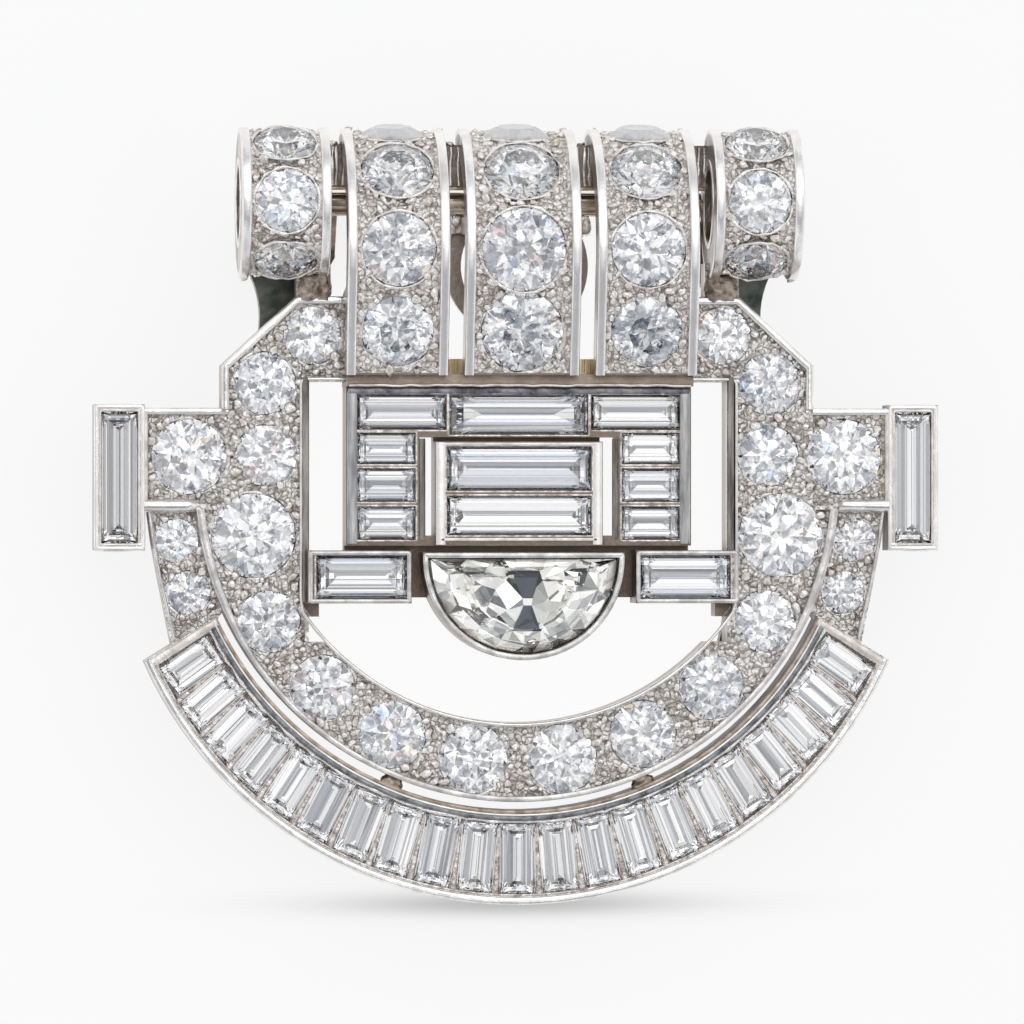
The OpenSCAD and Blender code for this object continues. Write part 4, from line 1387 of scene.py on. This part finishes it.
CLIP_WEAR = 0.16


def spacers(name, material):
    """A thin bevelled wedge in each gap between two baguettes, widening outwards."""
    stones = sorted(stones_in(FANNED), key=lambda found: found.middle.x)
    work = bmesh.new()
    for left, right in zip(stones, stones[1:]):
        ends = []
        for side, found in ((1, left), (-1, right)):
            down = found.along if found.along.y < 0 else -found.along
            edge = found.middle + Vector((-down.y, down.x, 0)) * side * (found.half[1] + 0.03)
            ends.append((edge - down * (found.half[0] - 0.1), edge + down * (found.half[0] + 0.02)))
        wedge_between(work, ends, stones[0].middle.z)
    on_body(add_object(name, mesh_from(work, name, material)))


def wedge_between(work, ends, girdle):
    rows = []
    for z, share in ((girdle - 0.45, 0.0), (girdle - 0.02, 0.0), (girdle + 0.07, 0.3)):
        corners = []
        for near_side, end in ((0, 0), (1, 0), (1, 1), (0, 1)):
            point = ends[near_side][end].lerp(ends[1 - near_side][end], share)
            corners.append(work.verts.new(Vector((point.x, point.y, z)) * MM))
        rows.append(corners)
    for lower, upper in zip(rows, rows[1:]):
        for i in range(4):
            work.faces.new((lower[i], lower[(i + 1) % 4], upper[(i + 1) % 4], upper[i]))
    work.faces.new(rows[-1])
    work.faces.new(list(reversed(rows[0])))


def lumps(name, places, material):
    """Uneven rounded lumps, each at a place with its own half sizes."""
    work = bmesh.new()
    for middle, half in places:
        for vert in bmesh.ops.create_icosphere(work, subdivisions=4, radius=1.0)["verts"]:
            way = vert.co.copy()
            square = max(abs(number) for number in way)
            way = way.lerp(way / square, 0.45)
            point = Vector(way[i] * half[i] for i in range(3)) + Vector(middle)
            rough = noise_at(point * 3.1, noise_basis="PERLIN_ORIGINAL") * 0.12
            rough += noise_at(point * 8.3, noise_basis="PERLIN_ORIGINAL") * 0.06
            vert.co = (point + way.normalized() * rough) * MM
    bmesh.ops.recalc_face_normals(work, faces=work.faces)
    mesh = mesh_from(work, name, material)
    mesh.shade_smooth()
    on_body(add_object(name, mesh))


def worn_clip(name, face_material, edge_material):
    """A copy of the clip with bevelled edges in a material of their own, which stands for the CAD node."""
    work = bmesh.new()
    work.from_mesh(NODES["clip"].data)
    bmesh.ops.remove_doubles(work, verts=work.verts, dist=SEAM)
    flat = [edge for edge in work.edges if edge.is_manifold and edge.calc_face_angle() < math.radians(2)]
    bmesh.ops.dissolve_edges(work, edges=flat, use_verts=True)
    piece = add_object(name, mesh_from(work, name, face_material, edge_material))
    bevel = piece.modifiers.new("worn_edges", "BEVEL")
    bevel.width = CLIP_WEAR * MM
    bevel.segments = 2
    bevel.limit_method = "ANGLE"
    bevel.angle_limit = math.radians(35)
    bevel.material = 1
    keep_modified(piece)
    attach(piece, "clip")
    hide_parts("clip")


# Putting it together

make_camera()
make_world()
make_floor()
make_lamp()
let_light_through()

STONES = [name for name in NODES if name not in ("mount", "gold_rail", "clip", "hinge_pin")]
ROUNDS = [name for name in STONES if "round" in name or "scroll" in name]
SCROLL_STONES = [name for name in ROUNDS if "scroll" in name]
STEPPED = [name for name in STONES if "baguette" in name]
UPRIGHT = [name for name in STEPPED if "wing" in name]
FANNED = ["arc_baguettes"]
metals = {name.removesuffix("_platinum"): metal(name, *values) for name, values in METALS.items()}
gold = metals["pale_gold"]
clothe([name for name in ROUNDS if name not in SCROLL_STONES], round_diamond())
clothe(SCROLL_STONES, scroll_diamond())
clothe([name for name in STEPPED if name not in UPRIGHT + FANNED], panel_diamond())
clothe(UPRIGHT, upright_diamond())
clothe(FANNED, fan_diamond())
clothe(["half_moon"], moon_diamond())
clothe(["mount"], mount_metal())
clothe(["gold_rail", "hinge_pin", "clip"], gold)
RIMS = rim_tree()


def rims(name, paths, width, height, corner, finish="polished", body="brooch"):
    values = {"Width": width * MM, "Height": height * MM, "Round": corner * MM, "Material": metals[finish]}
    grow(name, path_mesh(name, paths), RIMS, values, body)


WING_Z = RIM_Z - WING_DROP
WING_RIM = [(FRAME_HALF - 0.35, WING_TOP - 0.17), (BOX_IN + 0.05, WING_TOP - 0.17)]
SHOULDER = [(BOX_IN + 0.02, 0.55), (BOX_IN + 0.02, WING_TOP - 0.3)]
STRIP = [(18.46, 0.2), (18.24, -1.4), (17.91, -3.2), (17.2, -6.3)]
PANEL_SIDE = [(PANEL_HALF - 0.29, PANEL_BOTTOM + 0.1), (PANEL_HALF - 0.29, PANEL_TOP - 0.3)]
BLOCK_SIDE = [(BLOCK_HALF - 0.26, PANEL_BOTTOM + 0.05), (BLOCK_HALF - 0.26, BLOCK_TOP - 0.04)]
ARC_END = [fan_point(FAN_HALF - 0.7, ARC_INNER, 0.1), fan_point(FAN_HALF - 0.7, ARC_OUTER, -0.2)]
SLOT_X = BLOCK_HALF + SLOT_W - 0.13
WINDOW_BEVELS = bevel_paths(WINDOW_HALF + 0.17, WINDOW_HALF + 0.2, (WINDOW_TOP + 0.2, -4.4), RIM_Z - 0.03, 30)
SLOT_BEVELS = bevel_paths(SLOT_X, SLOT_X, (PANEL_BOTTOM + 0.3, BLOCK_TOP + 0.15), PANEL_Z - 0.12, 25)
ROUGH_EDGE = uneven(arc_paths(ARC_INNER, 0.57, RIM_Z - 0.14), 21, 0.05, 0.5, 1.5)

rims("roof_rims", roof_paths(0.19), 0.38, 0.3, 0.12)
rims("band_outer_rim", band_outer_paths(0.14), 0.28, 0.24, 0.07, "ashen")
rims("window_rim", window_rim_paths(0.38, 0.47), 0.16, 0.26, 0.07)
rims("window_bevels", WINDOW_BEVELS, 0.34, 0.3, 0.08, "bevelled")
rims("slot_bevels", SLOT_BEVELS, 0.3, 0.3, 0.06, "bevelled")
rims("wing_top_rims", both_sides(WING_RIM, WING_Z - 0.05), 0.34, 0.3, 0.12)
rims("wing_bars", wing_bar_paths(), 0.66, 0.66, 0.3)
rims("side_strip_rims", both_sides(STRIP, RIM_Z - 2 * WING_DROP - 0.06), 0.17, 0.24, 0.06, "ashen")
rims("wing_box_rims", box_paths(0.12), 0.24, 0.26, 0.08, "satin")
rims("wing_box_lines", box_paths(0.3), 0.14, 0.22, 0.05, "brushed")
rims("wing_box_shoulders", both_sides(SHOULDER, WING_Z - 0.06), 0.34, 0.26, 0.1, "brushed")
rims("wing_box_caps", box_cap_paths(), 0.32, 0.4, 0.14)
rims("arc_outer_wall", arc_paths(ARC_OUTER, -0.2, RIM_Z - 0.06), 0.4, 0.3, 0.12)
rims("arc_outer_line", arc_paths(ARC_OUTER, -0.48, RIM_Z - 0.12), 0.14, 0.26, 0.05, "seamed")
rims("arc_inner_shadow", arc_paths(ARC_INNER, 0.4, RIM_Z - 0.08), 0.26, 0.3, 0.06, "painted_shade")
rims("arc_inner_line", arc_paths(ARC_INNER, 0.23, RIM_Z - 0.04), 0.11, 0.3, 0.04)
rims("arc_inner_wall", arc_paths(ARC_INNER, 0.09, RIM_Z - 0.12), 0.19, 0.3, 0.06, "tarnished")
rims("arc_rough_edge", ROUGH_EDGE, 0.15, 0.26, 0.05, "bright")
rims("arc_end_walls", both_sides(ARC_END, RIM_Z - 0.07), 0.4, 0.3, 0.1, "brushed")
rims("scroll_rims", scroll_paths(-0.12), 0.48, 0.32, 0.09, "satin")
rims("panel_sides", both_sides(PANEL_SIDE, PANEL_Z - 0.08), 0.54, 0.3, 0.1, "drawn")
rims("panel_top_shadow", panel_top_paths(PANEL_TOP - 0.25, PANEL_Z - 0.02, 0.02), 0.34, 0.2, 0.06, "painted_shade")
rims("panel_top_line", panel_top_paths(PANEL_TOP, 6.45, 0.03), 0.14, 0.2, 0.05, "brushed")
rims("block_sides", both_sides(BLOCK_SIDE, PANEL_Z + 0.2), 0.5, 0.2, 0.08, "satin")
rims("block_edges", block_edge_paths(), 0.2, 0.2, 0.06, "brushed")
rims("flank_rims", flank_paths(0.12), 0.24, 0.3, 0.09, "ashen")
moon_light = moon_facet("half_moon_light", MOON_SHADE)
moon_facets("half_moon_facets", moon_light, moon_facet("half_moon_painted_shade", BOW_TIE_SHADE))
rims("half_moon_rim", moon_paths(0.17), 0.28, 0.3, 0.08, "ashen")

baguettes = stones_in(name for name in STEPPED if name not in FANNED)
rims("baguette_edges", stone_edge_paths(baguettes, 0.08, 0.16), 0.12, 0.2, 0.04, "seamed")
spacers("arc_spacers", metals["seamed"])
round_stones = stones_in(ROUNDS)
rims("stone_collars", collar_paths(round_stones), 0.14, 0.12, 0.05, "bright")
values = {"Squash": 0.6, "Dents": 0.3 * MM, "Seed": 5, "Material": metals["molten"]}
grow("set_grains", grains_mesh("set_grains", lay_grains(round_stones)), grain_tree(), values)

rims("bar_ribs", bar_rib_paths(), 0.16, 0.12, 0.03, "ashen")
rims("bar_edge_line", [flat_path([(-9.6, 16.3), (9.6, 16.3)], 3.56)], 0.16, 0.14, 0.04, "pale_gold")
rims("rail_ribs", rail_rib_paths(), 0.14, 0.12, 0.03, "pale_gold")
rims("bore_rims", bore_paths(), 0.3, 0.12, 0.04, "satin")
rims("tube_lines", tube_line_paths(), 0.13, 0.12, 0.03, "clip_edge", "clip")
bridges = round_points(ARC_INNER[0], ARC_INNER[1] - 0.05, -22.5, 22.5, 1)
lumps("bridge_solder", [((x, y, 4.55), (0.55, 0.5, 0.35)) for x, y in bridges], metals["tarnished"])
lumps("neck_solder", [((side * 10.2, 11.25, 5.1), (0.85, 0.75, 0.4)) for side in SIDES], metals["umber"])
lumps("loop_knuckles", [((side * 3.15, 14.45, 4.0), (0.6, 0.55, 0.5)) for side in SIDES], metals["bright"])
worn_clip("clip_worn", clip_metal(), metals["clip_edge"])

bpy.context.scene.view_settings.view_transform = "Standard"
